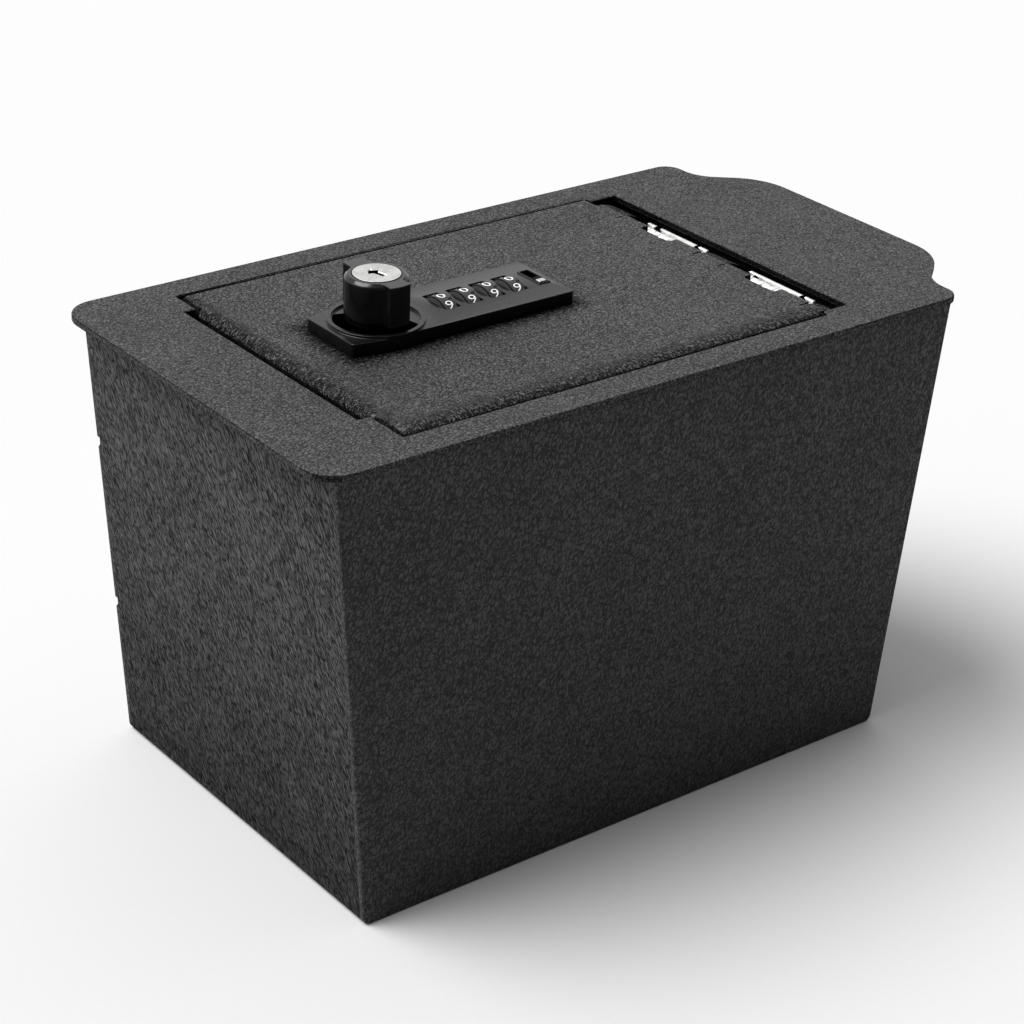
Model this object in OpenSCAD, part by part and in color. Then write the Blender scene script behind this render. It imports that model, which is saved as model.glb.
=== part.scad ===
// Vehicle console safe: a folded and welded steel body that hangs in a centre console,
// a hinged steel lid and a combination lock with a key override on the lid.
// The origin is on the ground under the middle of the bounding box. +X runs to the hinge end,
// +Y to the back long side and +Z up. All lengths are in millimetres and angles in degrees.

/* [Body] */
// Height from the ground to the top of the plate
body_h = 200; // [170:1:230]
// Thickness of the sheet of the walls and the floor
wall_t = 2.7; // [2:0.1:3.5]
// Outer radius of the bends between the floor and the end walls
bend_r = 3.2; // [2.8:0.1:8]
// Lean of the lock-end wall, inwards towards the floor
lock_lean = 4.5; // [0:0.5:8]
// Lean of the hinge-end wall, inwards towards the floor
hinge_lean = 6; // [0:0.5:9]
// Distance that the plate reaches past the lock-end wall
lock_overhang = 8.5; // [4:0.5:14]
// Distance that the plate reaches past the hinge-end wall
hinge_overhang = 1; // [1:0.5:8]
// Distance that the plate reaches past each long wall
side_overhang = 4.3; // [3.5:0.1:8]
// Radius of the bolt holes in the floor
floor_hole_r = 4.25; // [3:0.25:6]
// Distance between the floor's bolt holes along the length
floor_hole_dx = 190; // [120:5:210]
// Distance between the floor's bolt holes across the width
floor_hole_dy = 110; // [60:5:130]

/* [Top plate] */
// Length of the plate without its tongue
plate_l = 318.5; // [305:0.5:340]
// Width of the plate
plate_w = 186; // [180:1:200]
// Thickness of the plate
plate_t = 3; // [2.5:0.5:4]
// Corner radius at the lock end
lock_corner_r = 14; // [6:1:18]
// Corner radius at the hinge end
hinge_corner_r = 8; // [4:1:9]
// Length of the tongue past the hinge end
tongue_l = 24.5; // [17:0.5:30]
// Distance from each long edge to the start of the tongue's shoulder
tongue_inset = 18.8; // [18.2:0.2:24]
// Distance across the width that each shoulder takes up
tongue_shoulder = 19.5; // [17:0.5:26]
// Radius of the tongue's outer corners
tongue_r = 28; // [8:1:28]
// Radius of the fillets at the root of the tongue
tongue_fillet_r = 17; // [6:1:17]
// Length of the opening that the lid closes
opening_l = 225.5; // [215:0.5:232]
// Width of the opening that the lid closes
opening_w = 155.8; // [150:0.2:158]
// Plate left between the lock-end edge and the opening
lock_margin = 45; // [42:0.5:50]
// Length of the finger slot across the lock end of the opening
finger_slot_l = 120; // [60:1:130]
// Depth of the finger slot into the plate
finger_slot_d = 5.4; // [4.5:0.1:8]
// Place of the finger slot's middle across the width
finger_slot_y = 3; // [-5:1:5]

/* [Lid] */
// Thickness of the lid's sheet
lid_t = 3; // [2:0.5:3.5]
// Gap between the lid and the opening at the lock end
lid_gap = 1; // [0.6:0.1:2]
// Gap between the lid and the opening along the long sides
lid_side_gap = 0.6; // [0.5:0.1:2]
// Depth of the lid's flanges below its top
lid_flange = 12; // [9:0.5:14]
// Outer radius of the lid's bends at the lock end and the front
lid_bend_r = 4.5; // [4:0.5:6]
// Outer radius of the lid's tight bend at the back
lid_back_r = 1.2; // [0.6:0.2:6]
// Distance from the flat part's end to the opening's hinge edge
lid_end_gap = 12; // [12:0.5:15]
// Distance from the fold of the three tabs to the opening's hinge edge
tab_fold_gap = 16; // [15:0.5:22]
// Distance that the tabs reach under the plate
tab_reach = 1.5; // [0.5:0.5:3]
// Radius of the curl of the tabs below the lid's plane
tab_curl = 25; // [24:1:40]
// Width of the relief slit beside each tab
tab_slit = 1; // [0.5:0.5:2]

/* [Hinges] */
// Place of the middle between the two hinges across the width
hinge_y = -6.2; // [-8:0.2:0]
// Distance between the middles of the two hinges
hinge_pitch = 66.4; // [60:0.2:76]
// Length of one hinge
hinge_l = 39; // [32:1:41]
// Number of knuckles on one hinge
knuckles = 11; // [5:2:11]
// Outer radius of the knuckles
knuckle_r = 3; // [2.7:0.1:3.3]
// Radius of the hinge pin
pin_r = 1.5; // [1.2:0.1:1.8]
// Thickness of the hinge leaves
leaf_t = 1.5; // [1:0.1:1.8]
// Length of the lid leaf from the pin
lid_leaf_l = 30; // [20:1:36]
// Distance from the pin to the opening's hinge edge
pin_x_gap = 8.5; // [8:0.5:10]
// Depth of the pin below the top of the plate
pin_depth = 6; // [5.5:0.5:7]
// Angle to which the lid opens
lid_open = 95; // [80:5:95]

/* [Lock] */
// Place of the knob's axis from the lock-end edge of the plate
knob_from_edge = 91.4; // [90:0.2:96]
// Place of the lock's long axis across the width
lock_y = 5.2; // [0:0.2:8]
// Length of the lock's cover
cover_l = 107; // [104:1:112]
// Width of the lock's cover
cover_w = 37.2; // [35:0.2:42]
// Height of the lock's cover above the lid
cover_h = 5.5; // [5:0.1:7]
// Distance from the cover's end to the knob's axis
cover_end = 21.9; // [21:0.1:24]
// Radius of the knob
knob_r = 12.7; // [12:0.1:14]
// Height of the knob's top above the lid
knob_top = 25; // [22:0.5:30]
// Outer radius of the key cylinder's face
plug_face_r = 9.6; // [8:0.1:9.8]
// Radius of the digit wheels
wheel_r = 10.2; // [9.5:0.1:10.4]
// Width of the digit wheels
wheel_w = 6.6; // [6:0.1:7]
// Distance between the digit wheels
wheel_pitch = 11.35; // [11.2:0.05:11.6]
// Distance from the knob's axis to the first wheel
first_wheel = 31.8; // [31:0.1:33]
// Height of the wheels' tops above the lid
wheel_top = 8.3; // [7.4:0.1:8.4]
// Radius of the wheels' axle
axle_r = 2; // [1.5:0.1:2.4]
// Depth of the lock's rear case below the lid's top
case_depth = 15.5; // [15:0.5:18]
// Length of the cam from its axis
cam_l = 64; // [62:1:70]
// Width of the cam
cam_w = 20; // [16:1:24]
// Thickness of the cam
cam_t = 3; // [2:0.5:4]
// Length of the bevels beside the knob's end of the cover
cover_bevel_l = 14.6; // [8:0.2:15]
// Width of the bevels beside the knob's end of the cover
cover_bevel_w = 2.8; // [1:0.2:4]
// Travel of the fence bar while the knob turns
fence_travel = 1.2; // [0.6:0.2:1.2]

/* [Hidden] */
$fn = 64;

// Small clearances
fit = 0.05;      // radial clearance of a shaft in its hole
free = 0.3;      // clearance between curved faces of different bodies
seat = 0.4;      // clearance beside a moving flat face
through = 1;     // overrun of a cut past the face that it opens
arc_steps = 8;   // flats on one rounded corner of an outline

// Finishes
coat = [0.09, 0.09, 0.09];
zinc = [0.80, 0.80, 0.78];
moulded = [0.03, 0.03, 0.03];

// Top plate and body
total_l = plate_l + tongue_l;
x_lock = -total_l / 2;
x_main = x_lock + plate_l;
x_tip = total_l / 2;
z_top = body_h;
z_under = body_h - plate_t;
body_w = plate_w - 2 * side_overhang;
wall_y = body_w / 2 - wall_t;
tongue_y = plate_w / 2 - tongue_inset;
tip_y = tongue_y - tongue_shoulder;

// End walls at the top and at the ground, on their outer faces
lock_top_x = x_lock + lock_overhang;
hinge_top_x = x_main - hinge_overhang;
lock_foot_x = lock_top_x + z_under * tan(lock_lean);
hinge_foot_x = hinge_top_x - z_under * tan(hinge_lean);
floor_mid_x = (lock_foot_x + hinge_foot_x) / 2;

// Opening and lid
open_x0 = x_lock + lock_margin;
open_x1 = open_x0 + opening_l;
lid_x0 = open_x0 + lid_gap;
lid_x1 = open_x1 - lid_end_gap;
lid_w = opening_w - 2 * lid_side_gap;
fold_x = open_x1 - tab_fold_gap;
tab_x1 = open_x1 + tab_reach;
tab_turn = asin((tab_x1 - fold_x) / tab_curl);
tab_drop = tab_curl * (1 - cos(tab_turn));
hinge_zone = hinge_l + 10.5;
hinge_at = [hinge_y - hinge_pitch / 2, hinge_y + hinge_pitch / 2];
notch_depth = 4.7;
notch_y0 = -8.6;
notch_y1 = 10.4;
notch_round = 2;

// Hinges
pin_x = open_x1 - pin_x_gap;
pin_z = z_top - pin_depth;
knuckle_pitch = hinge_l / knuckles;
knuckle_gap = 0.2;
frame_leaf_x = pin_x + knuckle_r + 1.2;
frame_leaf_top = z_top - 3.4;
leaf_hole_r = 2.6;
leaf_hole = [[-0.3385 * hinge_l, z_top - 5.85], [0.395 * hinge_l, z_top - 6.6]];
back_leaf_hole = [[-0.3385 * hinge_l, z_top - 5.85], [0.3256 * hinge_l, z_top - 5.5]];
rail_t = 3;
rail_x = tab_x1 + 1;
rail_drop = 21;
shelf_top = z_under - rail_drop + rail_t;
foot_x1 = rail_x - 0.3;
rivet_r = 1.5;
rivet_head_r = 2.4;
rivet_head_h = 1;
foot_rivet_x = (frame_leaf_x + leaf_t + foot_x1) / 2;
lid_rivet_x = pin_x - lid_leaf_l + 7;
rivet_dy = 24;

// Lock
knob_x = x_lock + knob_from_edge;
cover_x0 = knob_x - cover_end;
cover_x1 = cover_x0 + cover_l;
cover_z = z_top + cover_h;
ring_in_r = knob_r + 4.9;
ring_out_r = ring_in_r + 2;
ring_h = 1.1;
well_z = z_top + 5.6;
stop_floor = z_top + 1.6;
stop_turn = [131, 311];
crown_h = 0.75;
crown_half = 7.6;
crown_x0 = knob_x + ring_out_r + 0.6;
crown_ramp = 6;
crown_end = 3;
wheel_x = [for (i = [0:3]) knob_x + first_wheel + i * wheel_pitch];
wheel_z = z_top + wheel_top - wheel_r;
wheel_bay_r = wheel_r + seat;
wheel_bay_w = wheel_w + 2 * seat;
case_x0 = knob_x - 16.5;
case_x1 = cover_x1 - 3.5;
case_w = 26;
case_rim = 3;
case_z0 = z_top - case_depth;
cutout_gap = 0.5;
axle_x0 = wheel_x[0] - wheel_w / 2 - 4.5;
axle_x1 = wheel_x[3] + wheel_w / 2 + 4.5;
screw_r = 1.5;
screw_head_r = 2.8;
screw_head_h = 1.6;
screw_at = [[knob_x + 21.5, lock_y - 9], [case_x1 - 4.5, lock_y + 9]];
slot_x = cover_x1 - 6.8;
slot_w = 4.2;
slot_l = 13.4;
slot_rim = 0.8;
slot_rim_h = 0.5;
slot_floor = z_top + 3;
window_l = 16.1;
slider_l = 5.2;
slider_w = slot_w - 0.6;
slider_y0 = lock_y - slot_l / 2 + seat;
slider_travel = slot_l - slider_l - 2 * seat;
stem_w = 2;
bar_w = 3.2;
bar_z0 = case_z0 + 1;
bar_t = 1.1;
tooth_t = 1;
tooth_h = 3;
tooth_x = [for (x = wheel_x) x + wheel_w / 2 + seat + 1.7];
spring_y = 6.5;
spring_w = 5;
spring_t = 0.5;
spring_z0 = case_z0 + 0.8;
spring_x0 = wheel_x[0] - wheel_w / 2 - 2;
spring_x1 = wheel_x[3] + wheel_w / 2 + 2;
detent_w = 1.8;
finger_w = detent_w - 0.4;
finger_x = [for (x = wheel_x) x + wheel_w / 2 - detent_w / 2];
finger_y = wheel_r * sin(18);
finger_top = wheel_z - sqrt(pow(wheel_r + free, 2) - pow(finger_y, 2)) - 0.05;

// Knob, spindle and cam
knob_z0 = well_z + seat;
stem_r = 8;
rim_h = 1.4;
lug_w = 9.6;
lug_out = 4.1;
lug_z0 = z_top + 8.3;
foot_in = 0.5;
spindle_top = z_top + 8;
keyway_turn = 15;
spindle_r = 5.5;
plug_r = 4.6;
plug_face_t = 2.2;
cam_gap = 2;
cam_z1 = case_z0 - cam_gap;
cam_z0 = cam_z1 - cam_t;
square_a = 8;
thread_r = 4;
washer_t = 1.2;
nut_h = 5;
nut_af = 13;
spindle_z0 = cam_z0 - washer_t - nut_h - 1;
bar_x0 = knob_x + stem_r + 0.5;
bar_x1 = wheel_x[3] + wheel_w / 2 + 3;

// Latch strike under the plate's lock margin
strike_gap = 0.5;
strike_t = 3;
strike_w = 44;
strike_x1 = open_x0 - finger_slot_d - 1.6;
strike_x0 = strike_x1 - 24;
strike_z0 = cam_z1 + strike_gap;

// Stops on the long walls, under the corners of the lid at the lock end
stop_t = 3;
stop_l = 14;
stop_h = 22;
stop_x = lid_x0 + 18;
stop_top = z_top - lid_flange - free;
stop_y = lid_w / 2 - lid_t - 1.5;

// Rounds the corner b between a and c with radius r, as points in order
function unit(v) = v / norm(v);
function corner_arc(a, b, c, r) =
    r <= 0 ? [b] :
    let (u = unit(a - b), w = unit(c - b), half = acos(u * w) / 2,
         centre = b + unit(u + w) * r / sin(half),
         first = b + u * r / tan(half) - centre,
         turn = sign(cross(b - a, c - b)) * (180 - 2 * half),
         start = atan2(first[1], first[0]))
    [for (i = [0:arc_steps])
        centre + r * [cos(start + turn * i / arc_steps), sin(start + turn * i / arc_steps)]];

// Outline through the corners [x, y, radius]
function rounded(corners) =
    let (n = len(corners), p = [for (q = corners) [q[0], q[1]]])
    [for (i = [0:n - 1]) for (q = corner_arc(p[(i + n - 1) % n], p[i], p[(i + 1) % n], corners[i][2])) q];

// Extrudes an XZ outline along Y, centred on y
module along_y(length, y = 0)
    translate([0, y, 0]) rotate([90, 0, 0]) linear_extrude(length, center = true) children();

// Extrudes a YZ outline along X from x0 to x1
module along_x(x0, x1) translate([x0, 0, 0]) rotate([90, 0, 90]) linear_extrude(x1 - x0) children();

// Cylinder along +X or +Y
module rod_x(r, x0, x1) translate([x0, 0, 0]) rotate([0, 90, 0]) cylinder(r = r, h = x1 - x0);
module rod_y(r, y0, y1) translate([0, y0, 0]) rotate([-90, 0, 0]) cylinder(r = r, h = y1 - y0);

// Box from its lowest to its highest corner
module block(lo, hi) translate(lo) cube(hi - lo);

// Side view of the body, inset by t from its outer faces; the inner one is left open at the top
module body_profile(t, top) {
    lock_shift = t / cos(lock_lean);
    hinge_shift = t / cos(hinge_lean);
    function lock_x(z) = lock_foot_x + lock_shift - z * tan(lock_lean);
    function hinge_x(z) = hinge_foot_x - hinge_shift + z * tan(hinge_lean);
    polygon(rounded([[lock_x(t), t, bend_r - t], [hinge_x(t), t, bend_r - t],
                     [hinge_x(top), top, 0], [lock_x(top), top, 0]]));
}

// Folded strip: lock-end wall, floor and hinge-end wall, with the floor's bolt holes
module body_wrap() color(coat) difference() {
    along_y(2 * wall_y) difference() {
        body_profile(0, z_under);
        body_profile(wall_t, z_under + through);
    }
    for (sx = [-1, 1], sy = [-1, 1])
        translate([floor_mid_x + sx * floor_hole_dx / 2, sy * floor_hole_dy / 2, -through])
            cylinder(r = floor_hole_r, h = wall_t + 2 * through);
}

// Long wall that covers the edges of the folded strip
module long_wall(side) color(coat) along_y(wall_t, side * (wall_y + wall_t / 2)) body_profile(0, z_under);
module front_wall() long_wall(-1);
module back_wall() long_wall(1);

// Top plate with its tongue, the lid's opening and the finger slot
module top_plate() color(coat) translate([0, 0, z_under]) difference() {
    linear_extrude(plate_t) polygon(rounded([
        [x_lock, -plate_w / 2, lock_corner_r], [x_main, -plate_w / 2, hinge_corner_r],
        [x_main, -tongue_y, tongue_fillet_r], [x_tip, -tip_y, tongue_r],
        [x_tip, tip_y, tongue_r], [x_main, tongue_y, tongue_fillet_r],
        [x_main, plate_w / 2, hinge_corner_r], [x_lock, plate_w / 2, lock_corner_r]]));
    block([open_x0, -opening_w / 2, -through], [open_x1, opening_w / 2, plate_t + through]);
    block([open_x0 - finger_slot_d, finger_slot_y - finger_slot_l / 2, -through],
          [open_x0 + through, finger_slot_y + finger_slot_l / 2, plate_t + through]);
}

// Angle under the plate that carries the hinges and closes the gap behind the lid
module hinge_rail() color(coat) difference() {
    along_y(opening_w + 8) polygon([
        [rail_x, z_under], [rail_x, shelf_top], [frame_leaf_x, shelf_top],
        [frame_leaf_x, shelf_top - rail_t], [rail_x + rail_t, shelf_top - rail_t], [rail_x + rail_t, z_under]]);
    for (y_mid = hinge_at, k = [-1, 1])
        translate([foot_rivet_x, y_mid + k * rivet_dy / 2, shelf_top - rail_t - through])
            cylinder(r = rivet_r + fit, h = rail_t + 2 * through);
}

// Channel under the lock margin that the cam turns below
module latch_strike() color(coat) along_y(strike_w, lock_y) polygon([
    [strike_x0, strike_z0], [strike_x1, strike_z0], [strike_x1, strike_z0 + strike_t],
    [strike_x0 + strike_t, strike_z0 + strike_t], [strike_x0 + strike_t, z_under - strike_t],
    [strike_x1, z_under - strike_t], [strike_x1, z_under], [strike_x0, z_under]]);

// Angles on the long walls that the closed lid's flanges rest on
module lid_stops() color(coat) for (side = [-1, 1]) along_x(stop_x - stop_l / 2, stop_x + stop_l / 2) polygon([
    [side * stop_y, stop_top], [side * wall_y, stop_top], [side * wall_y, stop_top - stop_h],
    [side * (wall_y - stop_t), stop_top - stop_h], [side * (wall_y - stop_t), stop_top - stop_t],
    [side * stop_y, stop_top - stop_t]]);

// Every second knuckle of one hinge, from the first or from the second one
module knuckle_row(y_mid, first) {
    for (i = [first:2:knuckles - 1])
        translate([pin_x, 0, pin_z])
            rod_y(knuckle_r, y_mid - hinge_l / 2 + i * knuckle_pitch + knuckle_gap / 2,
                  y_mid - hinge_l / 2 + (i + 1) * knuckle_pitch - knuckle_gap / 2);
}

// Slots beside the other leaf's knuckles
module knuckle_slots(y_mid, first, x0, x1, z0, z1) {
    for (i = [first:2:knuckles - 1])
        block([x0, y_mid - hinge_l / 2 + i * knuckle_pitch - knuckle_gap / 2, z0],
              [x1, y_mid - hinge_l / 2 + (i + 1) * knuckle_pitch + knuckle_gap / 2, z1]);
}

// Hinge leaf on the rail: a foot, an upright with two screw holes and its knuckles on short arms
module frame_leaf(y_mid, holes) color(zinc) difference() {
    union() {
        knuckle_row(y_mid, 0);
        difference() {
            along_y(hinge_l, y_mid) polygon([
                [frame_leaf_x, shelf_top], [foot_x1, shelf_top], [foot_x1, shelf_top + leaf_t],
                [frame_leaf_x + leaf_t, shelf_top + leaf_t], [frame_leaf_x + leaf_t, frame_leaf_top],
                [frame_leaf_x, frame_leaf_top]]);
            for (h = holes) translate([0, y_mid + h[0], h[1]])
                rod_x(leaf_hole_r, frame_leaf_x - through, frame_leaf_x + leaf_t + through);
        }
        difference() {
            block([pin_x, y_mid - hinge_l / 2, pin_z - leaf_t],
                  [frame_leaf_x + leaf_t / 2, y_mid + hinge_l / 2, pin_z]);
            knuckle_slots(y_mid, 1, pin_x - through, frame_leaf_x, pin_z - 2 * leaf_t, pin_z + leaf_t);
            for (h = holes) translate([0, y_mid + h[0], h[1]])
                rod_x(leaf_hole_r, frame_leaf_x, frame_leaf_x + leaf_t + through);
        }
    }
    translate([pin_x, 0, pin_z]) rod_y(pin_r + fit, y_mid - hinge_l, y_mid + hinge_l);
    for (k = [-1, 1]) translate([foot_rivet_x, y_mid + k * rivet_dy / 2, shelf_top - through])
        cylinder(r = rivet_r + fit, h = leaf_t + 2 * through);
}
module frame_leaf_front() frame_leaf(hinge_at[0], leaf_hole);
module frame_leaf_back() frame_leaf(hinge_at[1], back_leaf_hole);

// Hinge leaf under the lid with its knuckles
module lid_leaf(y_mid) color(zinc) difference() {
    union() {
        knuckle_row(y_mid, 1);
        difference() {
            block([pin_x - lid_leaf_l, y_mid - hinge_l / 2, z_top - lid_t - leaf_t],
                  [pin_x, y_mid + hinge_l / 2, z_top - lid_t]);
            knuckle_slots(y_mid, 0, pin_x - knuckle_r - seat, pin_x + through,
                          z_top - lid_t - 2 * leaf_t, z_top - lid_t + through);
        }
    }
    translate([pin_x, 0, pin_z]) rod_y(pin_r + fit, y_mid - hinge_l, y_mid + hinge_l);
    for (k = [-1, 1]) translate([lid_rivet_x, y_mid + k * rivet_dy / 2, z_top - lid_t - leaf_t - through])
        cylinder(r = rivet_r + fit, h = leaf_t + 2 * through);
}
module lid_leaf_front() lid_leaf(hinge_at[0]);
module lid_leaf_back() lid_leaf(hinge_at[1]);

// Pin of one hinge, as long as the hinge
module hinge_pin(y_mid) color(zinc) translate([pin_x, 0, pin_z])
    rod_y(pin_r, y_mid - hinge_l / 2, y_mid + hinge_l / 2);
module hinge_pin_front() hinge_pin(hinge_at[0]);
module hinge_pin_back() hinge_pin(hinge_at[1]);

// Rivet with a head at each end of its grip, standing on z0
module rivet(z0, grip) translate([0, 0, z0]) {
    translate([0, 0, -rivet_head_h]) cylinder(r = rivet_head_r, h = rivet_head_h);
    cylinder(r = rivet_r, h = grip);
    translate([0, 0, grip]) cylinder(r = rivet_head_r, h = rivet_head_h);
}

module frame_rivets() color(zinc)
    for (y_mid = hinge_at, k = [-1, 1])
        translate([foot_rivet_x, y_mid + k * rivet_dy / 2, 0])
            rivet(shelf_top - rail_t, rail_t + leaf_t);

module lid_rivets() color(zinc)
    for (y_mid = hinge_at, k = [-1, 1])
        translate([lid_rivet_x, y_mid + k * rivet_dy / 2, z_top - lid_t - leaf_t]) {
            translate([0, 0, -rivet_head_h]) cylinder(r = rivet_head_r, h = rivet_head_h);
            cylinder(r = rivet_r, h = leaf_t + lid_t / 2);
        }

// Pan of the lid inset by t, without its hinge end
module lid_form(t, z0, x1) intersection() {
    along_x(lid_x0 + t, x1) polygon(rounded([
        [-lid_w / 2 + t, z0, 0], [lid_w / 2 - t, z0, 0],
        [lid_w / 2 - t, z_top - t, max(0, lid_back_r - t)], [-lid_w / 2 + t, z_top - t, lid_bend_r - t]]));
    along_y(plate_w) polygon(rounded([
        [lid_x0 + t, z0, 0], [x1, z0, 0], [x1, z_top - t, 0], [lid_x0 + t, z_top - t, lid_bend_r - t]]));
}

// Space of a tab between two places across the width
module tab_zone(y0, y1) block([fold_x - through, y0, 0], [tab_x1 + through, y1, z_top + through]);

// Lid: a folded pan with three tabs that fall below the plate between the hinges
module lid() color(coat) difference() {
    union() {
        difference() {
            lid_form(0, z_top - lid_flange, lid_x1);
            lid_form(lid_t, z_top - lid_flange - through, lid_x1 + through);
            block([fold_x - lid_bend_r, -plate_w / 2, z_top - lid_flange - through],
                  [lid_x1 + through, plate_w / 2, z_top - lid_t]);
            difference() {
                block([fold_x, -plate_w / 2, z_top - lid_t - through],
                      [lid_x1 + through, plate_w / 2, z_top + through]);
                for (y_mid = hinge_at)
                    block([fold_x - through, y_mid - hinge_zone / 2, z_top - lid_t - 2 * through],
                          [lid_x1 + 2 * through, y_mid + hinge_zone / 2, z_top + 2 * through]);
            }
        }
        intersection() {
            translate([fold_x, 0, z_top - tab_curl]) along_y(lid_w) intersection() {
                difference() {
                    circle(r = tab_curl);
                    circle(r = tab_curl - lid_t);
                }
                polygon([[0, 0], [0, tab_curl + 1], [(tab_curl + 1) * tan(tab_turn), tab_curl + 1]]);
            }
            union() {
                tab_zone(-lid_w / 2, hinge_at[0] - hinge_zone / 2 - tab_slit);
                tab_zone(hinge_at[0] + hinge_zone / 2 + tab_slit, hinge_at[1] - hinge_zone / 2 - tab_slit);
                tab_zone(hinge_at[1] + hinge_zone / 2 + tab_slit, lid_w / 2);
            }
        }
    }
    for (y_mid = hinge_at) {
        translate([0, 0, z_top - lid_t - through]) linear_extrude(lid_t + 2 * through) polygon(rounded([
            [lid_x1 - notch_depth, y_mid + notch_y0, notch_round], [lid_x1 + through, y_mid + notch_y0, 0],
            [lid_x1 + through, y_mid + notch_y1, 0], [lid_x1 - notch_depth, y_mid + notch_y1, notch_round]]));
        for (k = [-1, 1]) {
            translate([lid_rivet_x, y_mid + k * rivet_dy / 2, z_top - lid_t - through])
                cylinder(r = rivet_r + fit, h = through + lid_t / 2);
            translate([0, y_mid + k * (hinge_zone + tab_slit) / 2, 0])
                block([fold_x - 1.5, -tab_slit / 2, z_top - lid_t - through],
                      [lid_x1 + through, tab_slit / 2, z_top + through]);
        }
    }
    block([case_x0, lock_y - case_w / 2, z_top - lid_t - through],
          [case_x1, lock_y + case_w / 2, z_top + through]);
}

// Bays that the four wheels turn in
module wheel_bays() for (x = wheel_x) translate([0, lock_y, wheel_z])
    rod_x(wheel_bay_r, x - wheel_bay_w / 2, x + wheel_bay_w / 2);

// Outline of the lock's cover: a rounded bar that swells around the knob's ring
module cover_outline() {
    polygon(rounded([
        [cover_x0, lock_y - cover_w / 2 + cover_bevel_w, 2],
        [cover_x0 + cover_bevel_l, lock_y - cover_w / 2, 0], [cover_x1, lock_y - cover_w / 2, 2],
        [cover_x1, lock_y + cover_w / 2, 2], [cover_x0 + cover_bevel_l, lock_y + cover_w / 2, 0],
        [cover_x0, lock_y + cover_w / 2 - cover_bevel_w, 2]]));
    translate([knob_x, lock_y]) circle(r = ring_out_r);
}

// Cover of the lock, on top of the lid
module lock_cover() color(moulded) difference() {
    union() {
        translate([0, 0, z_top]) linear_extrude(cover_h) cover_outline();
        intersection() {
            along_x(crown_x0, cover_x1 - 1) polygon([
                [lock_y - cover_w / 2 + 3, cover_z - through], [lock_y + cover_w / 2 - 3, cover_z - through],
                [lock_y + cover_w / 2 - 3, cover_z], [lock_y + crown_half, cover_z + crown_h],
                [lock_y - crown_half, cover_z + crown_h], [lock_y - cover_w / 2 + 3, cover_z]]);
            along_y(cover_w, lock_y) polygon([
                [crown_x0, cover_z - 2 * through], [cover_x1, cover_z - 2 * through],
                [cover_x1 - 1, cover_z], [cover_x1 - 1 - crown_end, cover_z + crown_h],
                [crown_x0 + crown_ramp, cover_z + crown_h], [crown_x0, cover_z]]);
        }
        translate([knob_x, lock_y, z_top]) cylinder(r = ring_out_r, h = cover_h + ring_h);
        block([slot_x - slot_w / 2 - slot_rim, lock_y - slot_l / 2 - slot_rim, cover_z - through],
              [slot_x + slot_w / 2 + slot_rim, lock_y + slot_l / 2 + slot_rim, cover_z + crown_h + slot_rim_h]);
    }
    translate([knob_x, lock_y, well_z]) cylinder(r = ring_in_r, h = cover_h + ring_h);
    translate([knob_x, lock_y, stop_floor]) linear_extrude(well_z - stop_floor + through) intersection() {
        difference() {
            circle(r = ring_in_r - 0.6);
            circle(r = knob_r - 1.5);
        }
        polygon(concat([[0, 0]], [for (i = [0:4])
            let (a = stop_turn[0] + i * (stop_turn[1] - stop_turn[0]) / 4) 2 * ring_out_r * [cos(a), sin(a)]]));
    }
    translate([knob_x, lock_y, z_top - through]) cylinder(r = stem_r + fit, h = cover_h + 2 * through);
    wheel_bays();
    block([axle_x0, lock_y - axle_r - seat, z_top - through], [axle_x1, lock_y + axle_r + seat, z_top + seat]);
    for (x = wheel_x)
        block([x - wheel_bay_w / 2, lock_y - window_l / 2, z_top + 4.5],
              [x + wheel_bay_w / 2, lock_y + window_l / 2, cover_z + crown_h + through]);
    block([slot_x - slot_w / 2, lock_y - slot_l / 2, slot_floor],
          [slot_x + slot_w / 2, lock_y + slot_l / 2, cover_z + crown_h + through]);
    block([slot_x - stem_w / 2 - seat, slider_y0, z_top - through],
          [slot_x + stem_w / 2 + seat, slider_y0 + slider_l + slider_travel, slot_floor + through]);
    for (p = screw_at) translate([p[0], p[1], z_top - through]) cylinder(r = screw_r + fit, h = through + 4);
}

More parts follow.
